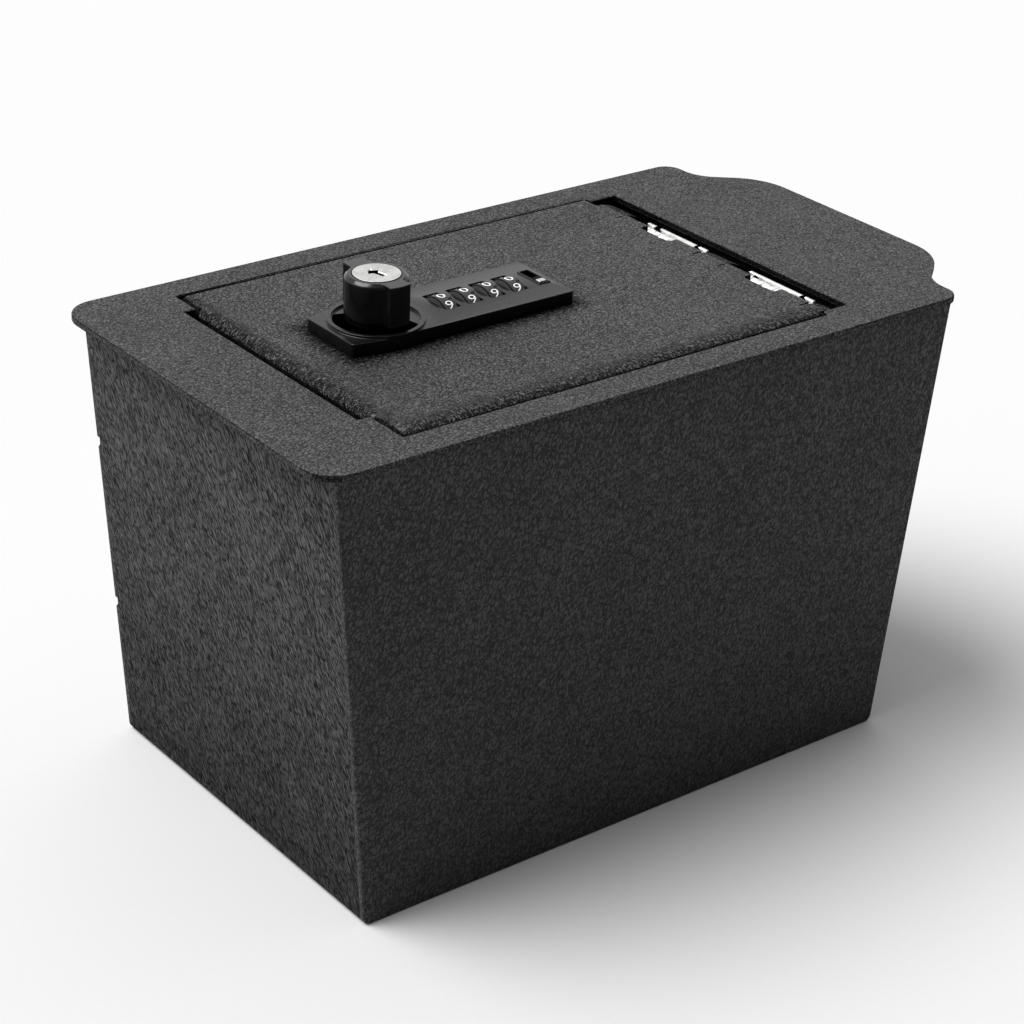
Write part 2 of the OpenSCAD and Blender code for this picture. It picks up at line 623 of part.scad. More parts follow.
// Rear case of the lock, clamped against the underside of the lid
module lock_case() color(moulded) difference() {
    union() {
        block([case_x0 - case_rim, lock_y - case_w / 2 - case_rim, case_z0],
              [case_x1 + case_rim, lock_y + case_w / 2 + case_rim, z_top - lid_t]);
        block([case_x0 + cutout_gap, lock_y - case_w / 2 + cutout_gap, case_z0],
              [case_x1 - cutout_gap, lock_y + case_w / 2 - cutout_gap, z_top]);
    }
    translate([knob_x, lock_y, case_z0 - through]) cylinder(r = stem_r + fit, h = case_depth + 2 * through);
    wheel_bays();
    translate([0, lock_y, wheel_z]) rod_x(axle_r + fit, axle_x0, axle_x1);
    block([axle_x0, lock_y - axle_r - fit, wheel_z], [axle_x1, lock_y + axle_r + fit, z_top + through]);
    block([bar_x0 - fence_travel - seat, lock_y - bar_w / 2 - seat, bar_z0 - seat],
          [bar_x1 + seat, lock_y + bar_w / 2 + seat, bar_z0 + bar_t + seat]);
    for (x = tooth_x)
        block([x - fence_travel - seat, lock_y - bar_w / 2 - seat, bar_z0],
              [x + tooth_t + seat, lock_y + bar_w / 2 + seat, bar_z0 + bar_t + tooth_h + seat]);
    block([spring_x0, lock_y + spring_y - spring_w / 2, spring_z0],
          [spring_x1, lock_y + spring_y + spring_w / 2, spring_z0 + spring_t + seat]);
    for (x = finger_x)
        block([x - finger_w / 2 - 0.2, lock_y + bar_w / 2 + seat, spring_z0],
              [x + finger_w / 2 + 0.2, lock_y + spring_y, wheel_z - wheel_r + 2]);
    block([slot_x - stem_w / 2 - seat, slider_y0, z_top - 2],
          [slot_x + stem_w / 2 + seat, slider_y0 + slider_l + slider_travel, z_top + through]);
    for (p = screw_at) translate([p[0], p[1], case_z0 - through]) {
        cylinder(r = screw_r + fit, h = case_depth + 2 * through);
        cylinder(r = screw_head_r + free, h = through + screw_head_h);
    }
}

// Screws that pull the case to the cover
module case_screws() color(zinc) for (p = screw_at) translate([p[0], p[1], case_z0]) {
    cylinder(r = screw_r, h = case_depth + 3.5);
    difference() {
        cylinder(r = screw_head_r, h = screw_head_h);
        for (a = [0, 90]) rotate(a)
            translate([-screw_head_r * 0.7, -screw_head_r / 7, -through])
                cube([screw_head_r * 1.4, screw_head_r / 3.5, through + screw_head_h / 2]);
    }
}

// Axle of the wheels, trapped between the case and the cover
module wheel_axle() color(zinc) translate([0, lock_y, wheel_z]) rod_x(axle_r, axle_x0 + 0.1, axle_x1 - 0.1);

// Digit wheel with ten detent notches beside its digits and a gate in its hub
digit_count = 10;
notch_r = 0.8;
module dial_wheel(i) color(moulded) translate([0, lock_y, wheel_z]) difference() {
    rod_x(wheel_r, wheel_x[i] - wheel_w / 2, wheel_x[i] + wheel_w / 2);
    rod_x(axle_r + fit, wheel_x[i] - wheel_w, wheel_x[i] + wheel_w);
    for (k = [0:digit_count - 1]) rotate([(k + 0.5) * 360 / digit_count, 0, 0])
        translate([0, 0, wheel_r + notch_r * 0.35])
            rod_x(notch_r, wheel_x[i] + wheel_w / 2 - detent_w, wheel_x[i] + wheel_w);
    difference() {
        rod_x(wheel_r - 2.2, wheel_x[i] + wheel_w / 2 - 2.4, wheel_x[i] + wheel_w);
        rod_x(axle_r + 2, wheel_x[i] - wheel_w, wheel_x[i] + wheel_w + through);
    }
    translate([wheel_x[i] + wheel_w / 2 - 2.4, -1.2, -axle_r - 3]) cube([wheel_w, 2.4, 3]);
}
module dial_wheel_1() dial_wheel(0);
module dial_wheel_2() dial_wheel(1);
module dial_wheel_3() dial_wheel(2);
module dial_wheel_4() dial_wheel(3);

// Leaf spring with one finger under each wheel
module detent_spring() color(zinc) {
    block([spring_x0 + 0.2, lock_y + spring_y - spring_w / 2 + 0.2, spring_z0],
          [spring_x1 - 0.2, lock_y + spring_y + spring_w / 2 - 0.2, spring_z0 + spring_t]);
    for (x = finger_x) along_x(x - finger_w / 2, x + finger_w / 2) polygon([
        [lock_y + spring_y - 1, spring_z0], [lock_y + spring_y - 1, spring_z0 + spring_t],
        [lock_y + finger_y + 0.5, finger_top], [lock_y + finger_y - 0.5, finger_top],
        [lock_y + finger_y - 0.5, finger_top - spring_t], [lock_y + finger_y + 0.3, finger_top - spring_t]]);
}

// Fence bar that follows the spiral on the knob's stem and slides along under the wheels
module fence_bar() color(zinc) {
    block([bar_x0, lock_y - bar_w / 2, bar_z0], [bar_x1, lock_y + bar_w / 2, bar_z0 + bar_t]);
    for (x = tooth_x)
        block([x, lock_y - bar_w / 2, bar_z0], [x + tooth_t, lock_y + bar_w / 2, bar_z0 + bar_t + tooth_h]);
}

// Slider that sets a new code, in its slot at the far end of the cover
module code_slider() color(zinc) {
    block([slot_x - slider_w / 2, slider_y0, slot_floor],
          [slot_x + slider_w / 2, slider_y0 + slider_l, cover_z + crown_h + slot_rim_h + 0.2]);
    block([slot_x - stem_w / 2, slider_y0 + 1, z_top - 1],
          [slot_x + stem_w / 2, slider_y0 + slider_l - 1, slot_floor + 0.5]);
}

// Knob with a bevelled rim, two grip lugs, a narrower foot and a stem through the cover
module knob() color(moulded) translate([knob_x, lock_y, 0]) difference() {
    union() {
        translate([0, 0, knob_z0]) cylinder(r = knob_r - foot_in, h = lug_z0 - knob_z0 + through);
        translate([0, 0, lug_z0]) cylinder(r = knob_r, h = z_top + knob_top - rim_h - lug_z0);
        translate([0, 0, z_top + knob_top - rim_h]) cylinder(r1 = knob_r, r2 = knob_r - rim_h, h = rim_h);
        translate([0, 0, lug_z0]) intersection() {
            cylinder(r = knob_r + lug_out, h = z_top + knob_top - lug_z0);
            translate([-lug_w / 2, -2 * knob_r, 0]) cube([lug_w, 4 * knob_r, knob_top]);
        }
        translate([0, 0, case_z0]) cylinder(r = stem_r, h = knob_z0 - case_z0 + through);
    }
    translate([0, 0, case_z0 - through]) cylinder(r = spindle_r + fit, h = spindle_top - case_z0 + through);
    translate([0, 0, case_z0]) cylinder(r = plug_r + fit, h = z_top + knob_top);
    translate([0, 0, z_top + knob_top - plug_face_t])
        cylinder(r = plug_face_r + free, h = plug_face_t + through);
    translate([0, 0, bar_z0 - seat]) linear_extrude(bar_t + 2 * seat) difference() {
        circle(r = stem_r + 1);
        polygon([for (a = [0:10:350])
            let (r = a < 180 ? stem_r - fence_travel * min(a, 180 - a) / 90 : stem_r + 2)
            r * [cos(a), sin(a)]]);
    }
}

// Key cylinder's plug with its face and keyway
module key_plug() color(zinc) translate([knob_x, lock_y, 0]) difference() {
    union() {
        translate([0, 0, spindle_top + 0.3]) cylinder(r = plug_r, h = z_top + knob_top - spindle_top - 0.3);
        translate([0, 0, z_top + knob_top - plug_face_t + 0.2]) cylinder(r = plug_face_r, h = plug_face_t);
    }
    rotate(keyway_turn) translate([-0.7, -3.4, z_top + knob_top - 12]) cube([1.4, 6.8, 13]);
    rotate(keyway_turn) translate([0, 1.6, z_top + knob_top - 12]) rotate(45)
        translate([-1.5, -1.5, 0]) cube([3, 3, 13]);
}

// Steel spindle: round in the knob, square in the cam and round again under the nut
module spindle() color(zinc) translate([knob_x, lock_y, 0]) {
    translate([0, 0, cam_z1]) cylinder(r = spindle_r, h = spindle_top - cam_z1);
    translate([-square_a / 2, -square_a / 2, cam_z0]) cube([square_a, square_a, cam_t]);
    translate([0, 0, spindle_z0]) cylinder(r = thread_r, h = cam_z0 - spindle_z0);
}

// Cam, towards -Y when the lid is free and towards -X when it is locked
module cam() color(zinc) translate([knob_x, lock_y, cam_z0]) difference() {
    union() {
        cylinder(r = cam_w / 2, h = cam_t);
        translate([-cam_w / 2, -cam_l + 3, 0]) cube([cam_w, cam_l - 3, cam_t]);
        translate([-cam_w / 2 + 3, -cam_l, 0]) cube([cam_w - 6, 4, cam_t]);
        for (s = [-1, 1]) translate([s * (cam_w / 2 - 3), -cam_l + 3, 0]) cylinder(r = 3, h = cam_t);
    }
    translate([-square_a / 2 - fit, -square_a / 2 - fit, -through])
        cube([square_a + 2 * fit, square_a + 2 * fit, cam_t + 2 * through]);
}

// Washer and nut that hold the cam
module cam_washer() color(zinc) translate([knob_x, lock_y, cam_z0 - washer_t]) difference() {
    cylinder(r = nut_af / 2 + 1.8, h = washer_t);
    translate([0, 0, -through]) cylinder(r = thread_r + fit, h = washer_t + 2 * through);
}
module cam_nut() color(zinc) translate([knob_x, lock_y, cam_z0 - washer_t - nut_h]) difference() {
    cylinder(r = nut_af / 2 / cos(30), h = nut_h, $fn = 6);
    translate([0, 0, -through]) cylinder(r = thread_r + fit, h = nut_h + 2 * through);
}

body_wrap();
front_wall();
back_wall();
top_plate();
hinge_rail();
latch_strike();
lid_stops();
frame_leaf_front();
frame_leaf_back();
hinge_pin_front();
hinge_pin_back();
frame_rivets();
lid();
lid_leaf_front();
lid_leaf_back();
lid_rivets();
lock_cover();
lock_case();
case_screws();
wheel_axle();
detent_spring();
dial_wheel_1();
dial_wheel_2();
dial_wheel_3();
dial_wheel_4();
code_slider();
fence_bar();
knob();
key_plug();
spindle();
cam();
cam_washer();
cam_nut();
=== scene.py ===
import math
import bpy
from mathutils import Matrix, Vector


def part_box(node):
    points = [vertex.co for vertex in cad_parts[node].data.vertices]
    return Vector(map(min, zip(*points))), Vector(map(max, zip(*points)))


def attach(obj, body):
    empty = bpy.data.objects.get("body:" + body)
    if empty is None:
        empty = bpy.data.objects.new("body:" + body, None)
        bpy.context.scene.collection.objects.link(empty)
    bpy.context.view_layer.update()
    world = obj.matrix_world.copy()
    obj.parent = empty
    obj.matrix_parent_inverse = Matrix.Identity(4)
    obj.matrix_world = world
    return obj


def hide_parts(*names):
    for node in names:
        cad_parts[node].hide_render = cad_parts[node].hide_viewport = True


bl_info = {
    "name": "Vehicle console safe",
    "version": (1, 0, 0),
    "blender": (4, 5, 0),
    "location": "View3D > Sidebar > Console safe",
    "description": "Finishes and fine shapes of a vehicle console safe, around its packed model",
    "category": "Add Mesh",
}

import bpy
from mathutils import Matrix, Vector, noise

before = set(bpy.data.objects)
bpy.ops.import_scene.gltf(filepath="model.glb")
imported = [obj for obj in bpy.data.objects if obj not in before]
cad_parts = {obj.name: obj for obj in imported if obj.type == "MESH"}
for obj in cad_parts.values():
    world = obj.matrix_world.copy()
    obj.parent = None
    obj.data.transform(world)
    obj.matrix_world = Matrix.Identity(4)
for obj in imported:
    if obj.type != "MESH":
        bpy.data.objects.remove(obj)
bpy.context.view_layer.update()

MM = 0.001


def middle(node):
    """Middle of a node's box."""
    low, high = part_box(node)
    return (Vector(low) + Vector(high)) / 2


# Places of the pieces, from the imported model
LID_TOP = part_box("lid")[1][2]
LID_LOW, LID_HIGH = (Vector(corner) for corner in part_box("lid"))
COVER_LOW, COVER_HIGH = (Vector(corner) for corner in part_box("lock_cover"))
KNOB = middle("knob")
PLUG_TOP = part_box("key_plug")[1][2]
SLIDER_MIDDLE = middle("code_slider").y
WHEELS = [middle(f"dial_wheel_{number}") for number in range(1, 5)]
WHEEL_RADIUS = (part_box("dial_wheel_1")[1][2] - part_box("dial_wheel_1")[0][2]) / 2

# Cleaning of copied meshes
SAME_POINT = 0.002 * MM
SAME_PLANE = math.radians(0.3)
TOUCH = 0.01 * MM

# Angle in degrees from which an edge counts as sharp
SHARP = 35

# Lid bends at the lock end and the front: outer radius, least share of it on the outer skin,
# angle in degrees up to which their creases are smooth, and rounding of the lid's edges
LID_BEND = 4.5 * MM
BEND_SKIN = 0.8
BEND_SMOOTH = 60
LID_EDGE = 0.3 * MM

# Creases across these bends: depth, repeats per metre, draw along the creases, least length of
# the edges that are cut for them, and number of these cuts
CREASE = 0.4 * MM
CREASE_NOISE = 1500
CREASE_DRAW = 0.25
LONG_EDGE = 100 * MM
BEND_CUTS = 100

# Tabs of the lid: line where they start to curl, cuts past it, points that move and how far
TAB_FOLD = LID_HIGH.x - 17.4 * MM
TAB_CUTS = (0.05 * MM, 0.3 * MM)
TAB_MOVES = 0.2 * MM
TAB_EDGE = 3 * MM
BACK_TAB_IN = 8.8 * MM
FRONT_TAB_IN = 3.5 * MM

# Opening of the plate: gap round the lid, step beside the tabs, and how far past the lid's box
# its faces are looked for
SIDE_GAP = 0.6 * MM
NEAR_SIDE = 0.1 * MM
TAB_STEP = TAB_FOLD + 1.7 * MM
STEP_HALF = 0.5 * MM
STEP_DEPTH = 3.5 * MM
OPENING_ASIDE = 3 * MM
OPENING_BEFORE = 9 * MM
OPENING_BEHIND = 8 * MM
SLOT_LOW, SLOT_HIGH = -57 * MM, 63 * MM

# Part of the lid's bends that gets a near-black painted shade, as a share of the way up, beside
# the finger slot and elsewhere
SLOT_SHARE = 0.15
GAP_SHARE = 0.62

# Inner side of the lid: distance from its edges and below its top
SHEET_SKIN = 1.5 * MM
BELOW_TOP = 1 * MM

# Parts of a face's normal by which finishes are told apart
UPRIGHT = 0.3
ROUNDED = 0.6
NEARLY_FLAT = 0.85
SQUARE = 0.93
TAB_CURL = (0.2, 0.985)
WHEEL_EDGE = (0.3, 0.97)

# Notches in the weld: heights, cuts in halves of the length, and share that is sunk
NOTCH_LEVELS = (64 * MM, 140 * MM)
NOTCH_CUTS = (-1, -0.6, 0.6, 1)
NOTCH_SUNK = 0.7

# Keyway: depth of its mouth, turn, reach, widening, and radius of its dark faces, which get a
# near-black painted shade
KEY_DISH = 0.4 * MM
KEY_TURN = math.radians(15)
KEY_REACH = 4.1 * MM
KEY_WIDER = 1.45
KEY_LONGER = 1.1
KEY_MOUTH = 1.3
KEY_DARK = 4.6 * MM
KEY_DARK_DEPTH = 1.15 * KEY_DISH

# Digits: text size and width for their height, relief, thinning, lift, slices and number
DIGIT_TEXT = 1.42
DIGIT_WIDTH = 1.36
DIGIT_RELIEF = 0.05 * MM
DIGIT_THINNING = -0.07 * MM
DIGIT_LIFT = 0.02 * MM
DIGIT_SLICES = 9
DIGIT_CURVE = 5
DIGITS = 10

# Camera at the photograph's place and angle
CAMERA_PLACE = (-0.6503, -0.7929, 0.6214)
CAMERA_RIGHT = (0.7905, -0.6113, 0.0387)
CAMERA_BACK = (-0.5591, -0.6944, 0.4530)
CAMERA_LENS = 95.55
CAMERA_SENSOR = 36
CAMERA_CLIP = (0.05, 50)

# Stage: floor, light from behind the safe at its left, and the surroundings' strength
FLOOR_SIZE = 14
LIGHT_FROM = (-0.42, 0.28, 0.86)
LIGHT_STRENGTH = 4.2
LIGHT_ANGLE = 40
DIM_SIDE, BRIGHT_SIDE = 0.04, 1.15

# Sizes of the patterns in the finishes, as repeats per metre
PEBBLES = 640
PEBBLE_SWIRLS = 480
GRIT = 1000
SPECKS = 760
CLOUDS = 26
BEND_FOLDS = 1150
BEND_BORDER = 260
COVER_BORDER = 600
ORANGE_PEEL = 700
DUST = 2600
BRUSH_LINES = 1500
PLATE_SPOTS = 300
PAINT_WEAR = 1800
FLOOR_FIBRES = 400

# Creased bands of the powder coat on the lid's bends, whose dark and light strokes are painted
# shade and painted highlights on the creases: axis, edge, distance from the edge up to which they
# are full, distance at which they end, strength of their bump and painted highlights, and draw
# along the creases
CREASED_BANDS = (
    ("X", LID_LOW.x, 2.5 * MM, 7 * MM, 0.75, (0.5, 1, 0.6)),
    ("Y", LID_LOW.y, 6.5 * MM, 12.5 * MM, 0.65, (1, 0.5, 0.6)),
)

# Painted shade in the corner along the lock's cover: inset of its long sides, width and least
# light
COVER_INSET = 1 * MM
CORNER_WIDTH = 8 * MM
CORNER_LIGHT = 0.12


class SafeSizes(bpy.types.PropertyGroup):
    """Sizes of the fine shapes."""

    sheet_round: bpy.props.FloatProperty(
        name="Sheet edge", description="Rounding of the cut edges of the sheet steel",
        default=0.55 * MM, unit="LENGTH")
    weld_round: bpy.props.FloatProperty(
        name="Weld edge", description="Rounding of the dressed welds between the walls",
        default=0.9 * MM, unit="LENGTH")
    cast_round: bpy.props.FloatProperty(
        name="Cast edge", description="Rounding of the edges of the lock's castings",
        default=0.35 * MM, unit="LENGTH")
    leaf_round: bpy.props.FloatProperty(
        name="Leaf edge", description="Rounding of the edges of the hinge leaves",
        default=0.15 * MM, unit="LENGTH")
    steel_round: bpy.props.FloatProperty(
        name="Steel edge", description="Rounding of the pins and of the lock's steel parts",
        default=0.2 * MM, unit="LENGTH")
    rivet_round: bpy.props.FloatProperty(
        name="Rivet edge", description="Rounding of the rivets' heads",
        default=0.35 * MM, unit="LENGTH")
    plug_round: bpy.props.FloatProperty(
        name="Key face edge", description="Rounding of the edges of the key cylinder's face",
        default=0.1 * MM, unit="LENGTH")
    wheel_round: bpy.props.FloatProperty(
        name="Wheel edge", description="Rounding of the rims of the digit wheels",
        default=0.45 * MM, unit="LENGTH")
    digit_height: bpy.props.FloatProperty(
        name="Digit height", description="Height of the digits on the wheels",
        default=4.1 * MM, unit="LENGTH")
    digit_turn: bpy.props.FloatProperty(
        name="Digit turn",
        description="Turn of the digit 0 from the top of its wheel towards the back",
        default=math.radians(3), unit="ROTATION")
    notch_length: bpy.props.FloatProperty(
        name="Weld notch",
        description="Length of the two notches in the weld of the back corner",
        default=5 * MM, unit="LENGTH")
    notch_depth: bpy.props.FloatProperty(
        name="Notch depth", description="Depth of these notches",
        default=0.9 * MM, unit="LENGTH")


class SafeFinishes(bpy.types.PropertyGroup):
    """Colours of the finishes."""

    coat_colour: bpy.props.FloatVectorProperty(
        name="Powder coat", description="Colour of the textured powder coat",
        subtype="COLOR", size=3, default=(0.03, 0.03, 0.03), min=0, max=1)
    lock_colour: bpy.props.FloatVectorProperty(
        name="Lock", description="Colour of the lock's castings",
        subtype="COLOR", size=3, default=(0.003, 0.003, 0.003), min=0, max=1)
    wheel_colour: bpy.props.FloatVectorProperty(
        name="Wheels", description="Colour of the rims of the digit wheels",
        subtype="COLOR", size=3, default=(0.03, 0.03, 0.03), min=0, max=1)
    steel_colour: bpy.props.FloatVectorProperty(
        name="Plated steel", description="Colour of the zinc-plated steel",
        subtype="COLOR", size=3, default=(0.95, 0.95, 0.94), min=0, max=1)
    face_colour: bpy.props.FloatVectorProperty(
        name="Key face", description="Colour of the key cylinder's face and the code slider",
        subtype="COLOR", size=3, default=(0.56, 0.56, 0.55), min=0, max=1)
    digit_colour: bpy.props.FloatVectorProperty(
        name="Digits", description="Colour of the paint in the digits",
        subtype="COLOR", size=3, default=(0.88, 0.88, 0.86), min=0, max=1)
    floor_colour: bpy.props.FloatVectorProperty(
        name="Floor", description="Colour of the floor under the safe",
        subtype="COLOR", size=3, default=(0.52, 0.52, 0.52), min=0, max=1)


def sizes():
    """Sizes that are set in the panel."""
    return bpy.context.scene.console_safe_sizes


def finishes():
    """Colours that are set in the panel."""
    return bpy.context.scene.console_safe_finishes


# Materials


def new_material(name):
    """Material with its node tree and its shader."""
    material = bpy.data.materials.new(name)
    material.use_nodes = True
    tree = material.node_tree
    return material, tree, tree.nodes["Principled BSDF"]


def feed(tree, item, inputs):
    """Sets a node's inputs to values or links them to other nodes' outputs."""
    for key, value in inputs.items():
        if isinstance(value, bpy.types.NodeSocket):
            tree.links.new(value, item.inputs[key])
        else:
            item.inputs[key].default_value = value


def add_node(tree, kind, inputs=None, **settings):
    """Node with its settings, whose inputs are values or other nodes' outputs."""
    item = tree.nodes.new(kind)
    for key, value in settings.items():
        setattr(item, key, value)
    feed(tree, item, inputs or {})
    return item


def object_place(tree):
    """Place on the piece, in the shared frame."""
    return add_node(tree, "ShaderNodeTexCoord").outputs["Object"]


def axes(tree, place):
    """Three coordinates of a place."""
    return add_node(tree, "ShaderNodeSeparateXYZ", {"Vector": place}).outputs


def grain(tree, place, scale, **inputs):
    """Value of a noise pattern."""
    inputs = {"Vector": place, "Scale": scale, **inputs}
    return add_node(tree, "ShaderNodeTexNoise", inputs).outputs["Fac"]


def span(tree, value, low, high, to_low, to_high):
    """Value mapped from one span to another and kept inside it."""
    return add_node(tree, "ShaderNodeMapRange", {
        "Value": value, "From Min": low, "From Max": high, "To Min": to_low, "To Max": to_high,
    }).outputs["Result"]


def combined(tree, operation, first, second):
    """Result of a calculation on two values."""
    return add_node(tree, "ShaderNodeMath", {0: first, 1: second}, operation=operation).outputs[0]


def weighted(tree, *parts):
    """Sum of values, each times its share."""
    total = None
    for value, share in reversed(parts):
        part = combined(tree, "MULTIPLY", value, share)
        total = part if total is None else combined(tree, "ADD", part, total)
    return total


def shifted(tree, operation, place, change):
    """Place after a calculation with a vector."""
    inputs = {0: place, 1: change}
    return add_node(tree, "ShaderNodeVectorMath", inputs, operation=operation).outputs[0]


def mixed(tree, fac, first, second):
    """Colour between two colours."""
    inputs = {"Factor": fac, "A": first, "B": second}
    return add_node(tree, "ShaderNodeMix", inputs, data_type="RGBA").outputs["Result"]


def shades(tree, colour, fac, dark, light):
    """Colour that varies between a darker and a lighter shade."""
    return mixed(tree, fac, (*[part * dark for part in colour], 1),
                 (*[part * light for part in colour], 1))


def near_edge(tree, value, edge, full, gone):
    """Mask that is 1 up to a distance inside an edge and fades to 0 at a second distance."""
    return span(tree, value, edge + full, edge + gone, 1, 0)


def bend_creases(tree, place):
    """Short creases across the lid's folded edges, for their bump and their painted highlights and
    shade, and the mask of these edges.
    """
    parts = axes(tree, place)
    creases, mask = 0.0, 0.0
    border = grain(tree, place, BEND_BORDER, Detail=2)
    ragged = span(tree, border, 0.3, 0.7, -2.5 * MM, 2.5 * MM)
    for axis, edge, full, gone, light, draw in CREASED_BANDS:
        drawn = shifted(tree, "MULTIPLY", place, draw)
        folds = grain(tree, drawn, BEND_FOLDS, Detail=2, Roughness=0.6, Distortion=0.8)
        folds = span(tree, folds, 0.49, 0.6, 0, 1)
        here = near_edge(tree, combined(tree, "ADD", parts[axis], ragged), edge, full, gone)
        lit = combined(tree, "MULTIPLY", folds, combined(tree, "MULTIPLY", here, light))
        creases = combined(tree, "MAXIMUM", creases, lit)
        mask = combined(tree, "MAXIMUM", mask, here)
    return creases, mask


def beside_cover(tree, place):
    """Factor for a painted shade: 1 on the open lid, falling in the corner along the lock's cover.
    """
    away = []
    parts = axes(tree, place)
    for axis, inset in (("x", 0), ("y", COVER_INSET)):
        low, high = getattr(COVER_LOW, axis), getattr(COVER_HIGH, axis)
        off = combined(tree, "SUBTRACT", parts[axis.upper()], (low + high) / 2)
        past = combined(tree, "SUBTRACT", combined(tree, "ABSOLUTE", off, 0.0),
                        (high - low) / 2 - inset)
        away.append(combined(tree, "MAXIMUM", past, 0.0))
    squares = [combined(tree, "MULTIPLY", part, part) for part in away]
    distance = combined(tree, "SQRT", combined(tree, "ADD", *squares), 0.0)
    border = grain(tree, place, COVER_BORDER, Detail=2)
    ragged = span(tree, border, 0.35, 0.65, -4 * MM, 3 * MM)
    distance = combined(tree, "ADD", distance, ragged)
    return span(tree, distance, 0, CORNER_WIDTH, CORNER_LIGHT, 1)


def above_ground(tree, place, fall):
    """Factor for a painted shade: 1 at the lid, falling by a share down to the ground, ever
    faster.
    """
    down = span(tree, axes(tree, place)["Z"], 0, LID_TOP, 1, 0)
    fallen = combined(tree, "MULTIPLY", combined(tree, "MULTIPLY", down, down), fall)
    return combined(tree, "SUBTRACT", 1.0, fallen)


def warped(tree, place, scale, amount):
    """Place shifted a little by noise, so that a pattern loses its straight lines."""
    inputs = {"Vector": place, "Scale": scale, "Detail": 2}
    swirl = add_node(tree, "ShaderNodeTexNoise", inputs).outputs["Color"]
    inputs = {0: shifted(tree, "SUBTRACT", swirl, (0.5, 0.5, 0.5)), "Scale": amount}
    small = add_node(tree, "ShaderNodeVectorMath", inputs, operation="SCALE").outputs[0]
    return shifted(tree, "ADD", place, small)


def coat_pattern(tree, drawn):
    """Seams between the pebbles of a powder coat, the tone of each pebble, and fine grit."""
    bent = warped(tree, drawn, PEBBLE_SWIRLS, 2.6 * MM)
    cell = {"Vector": bent, "Scale": PEBBLES}
    seams = add_node(tree, "ShaderNodeTexVoronoi", cell, feature="DISTANCE_TO_EDGE")
    seams = span(tree, seams.outputs["Distance"], 0.01, 0.2, 0, 1)
    pebbles = add_node(tree, "ShaderNodeTexVoronoi", cell, feature="F1").outputs["Color"]
    pebble = add_node(tree, "ShaderNodeSeparateColor", {"Color": pebbles}).outputs["Red"]
    grit = span(tree, grain(tree, bent, GRIT, Detail=1), 0.36, 0.64, 0, 1)
    return seams, pebble, grit


def powder_coat(name, relief, contrast, stretch=(1, 1, 1), turn=(0, 0, 0), painted_light_share=1.0,
                bends=False, fall=0.0):
    """Wrinkled powder coat, drawn out along a turned direction and darker by a share as painted
    shade where asked. On the lid's bends it is creased, with painted highlights and shade on the
    creases and a painted shade along the lock's cover; elsewhere a painted shade dims it towards
    the ground where asked."""
    material, tree, shader = new_material(name)
    place = object_place(tree)
    mapping = {"Vector": place, "Scale": stretch, "Rotation": turn}
    drawn = add_node(tree, "ShaderNodeMapping", mapping, vector_type="TEXTURE").outputs["Vector"]
    seams, pebble, grit = coat_pattern(tree, drawn)
    clouds = span(tree, grain(tree, place, CLOUDS, Detail=3), 0.3, 0.7, 0, 1)
    height = weighted(tree, (seams, 0.5), (pebble, 0.3), (grit, 0.3))
    tone = weighted(tree, (seams, 0.46), (pebble, 0.16), (grit, 0.3), (clouds, 0.08))
    tone = span(tree, tone, 0.3, 0.85, 0, 1)
    # A share under 1 is painted shade: a darker copy of the coat for faces that get less light.
    colour = [part * painted_light_share for part in finishes().coat_colour]
    coated = shades(tree, colour, tone, 1 - 0.95 * contrast, 1 + 0.95 * contrast)
    if bends:
        creases, mask = bend_creases(tree, place)
        height = combined(tree, "ADD", height, combined(tree, "MULTIPLY", creases, 2.2))
        # Painted highlights and shade on the creases: here the colour runs from almost black to
        # over three times the coat's colour.
        coated = mixed(tree, mask, coated, shades(tree, colour, creases, 0.02, 3.4))
        plain = combined(tree, "MULTIPLY", tone, combined(tree, "SUBTRACT", 1.0, mask))
        tone = combined(tree, "ADD", plain, combined(tree, "MULTIPLY", creases, mask))
    specks = span(tree, grain(tree, drawn, SPECKS, Detail=1), 0.67, 0.73, 0, 1)
    coated = mixed(tree, specks, coated, (*[part * (1 + 2 * contrast) for part in colour], 1))
    shine = span(tree, tone, 0, 1, (0.38 - 0.3 * contrast) * painted_light_share,
                 (0.38 + 0.3 * contrast) * painted_light_share)
    # Painted shade: black is mixed in and the shine dimmed, in the corner along the lock's cover
    # on the lid or towards the ground elsewhere.
    if bends or fall:
        lit = beside_cover(tree, place) if bends else above_ground(tree, place, fall)
        coated = mixed(tree, lit, (0, 0, 0, 1), coated)
        shine = combined(tree, "MULTIPLY", shine, lit)
    bump = {"Height": height, "Strength": relief, "Distance": 0.6 * MM}
    feed(tree, shader, {
        "Base Color": coated, "Specular IOR Level": shine,
        "Roughness": span(tree, tone, 0, 1, 0.8, 0.55),
        "Normal": add_node(tree, "ShaderNodeBump", bump).outputs["Normal"]})
    return material


def casting(name, colour, roughness, shine, relief=0.08):
    """Smooth painted casting with a trace of orange peel and fine dust."""
    material, tree, shader = new_material(name)
    place = object_place(tree)
    peel = grain(tree, place, ORANGE_PEEL, Detail=2)
    dust = span(tree, grain(tree, place, DUST, Detail=3), 0.4, 0.7, 0, 1)
    bump = {"Height": peel, "Strength": relief, "Distance": 0.1 * MM}
    feed(tree, shader, {
        "Base Color": shades(tree, colour, dust, 0.9, 1.2), "Specular IOR Level": shine,
        "Roughness": span(tree, peel, 0.3, 0.7, roughness - 0.04, roughness + 0.05),
        "Normal": add_node(tree, "ShaderNodeBump", bump).outputs["Normal"]})
    return material


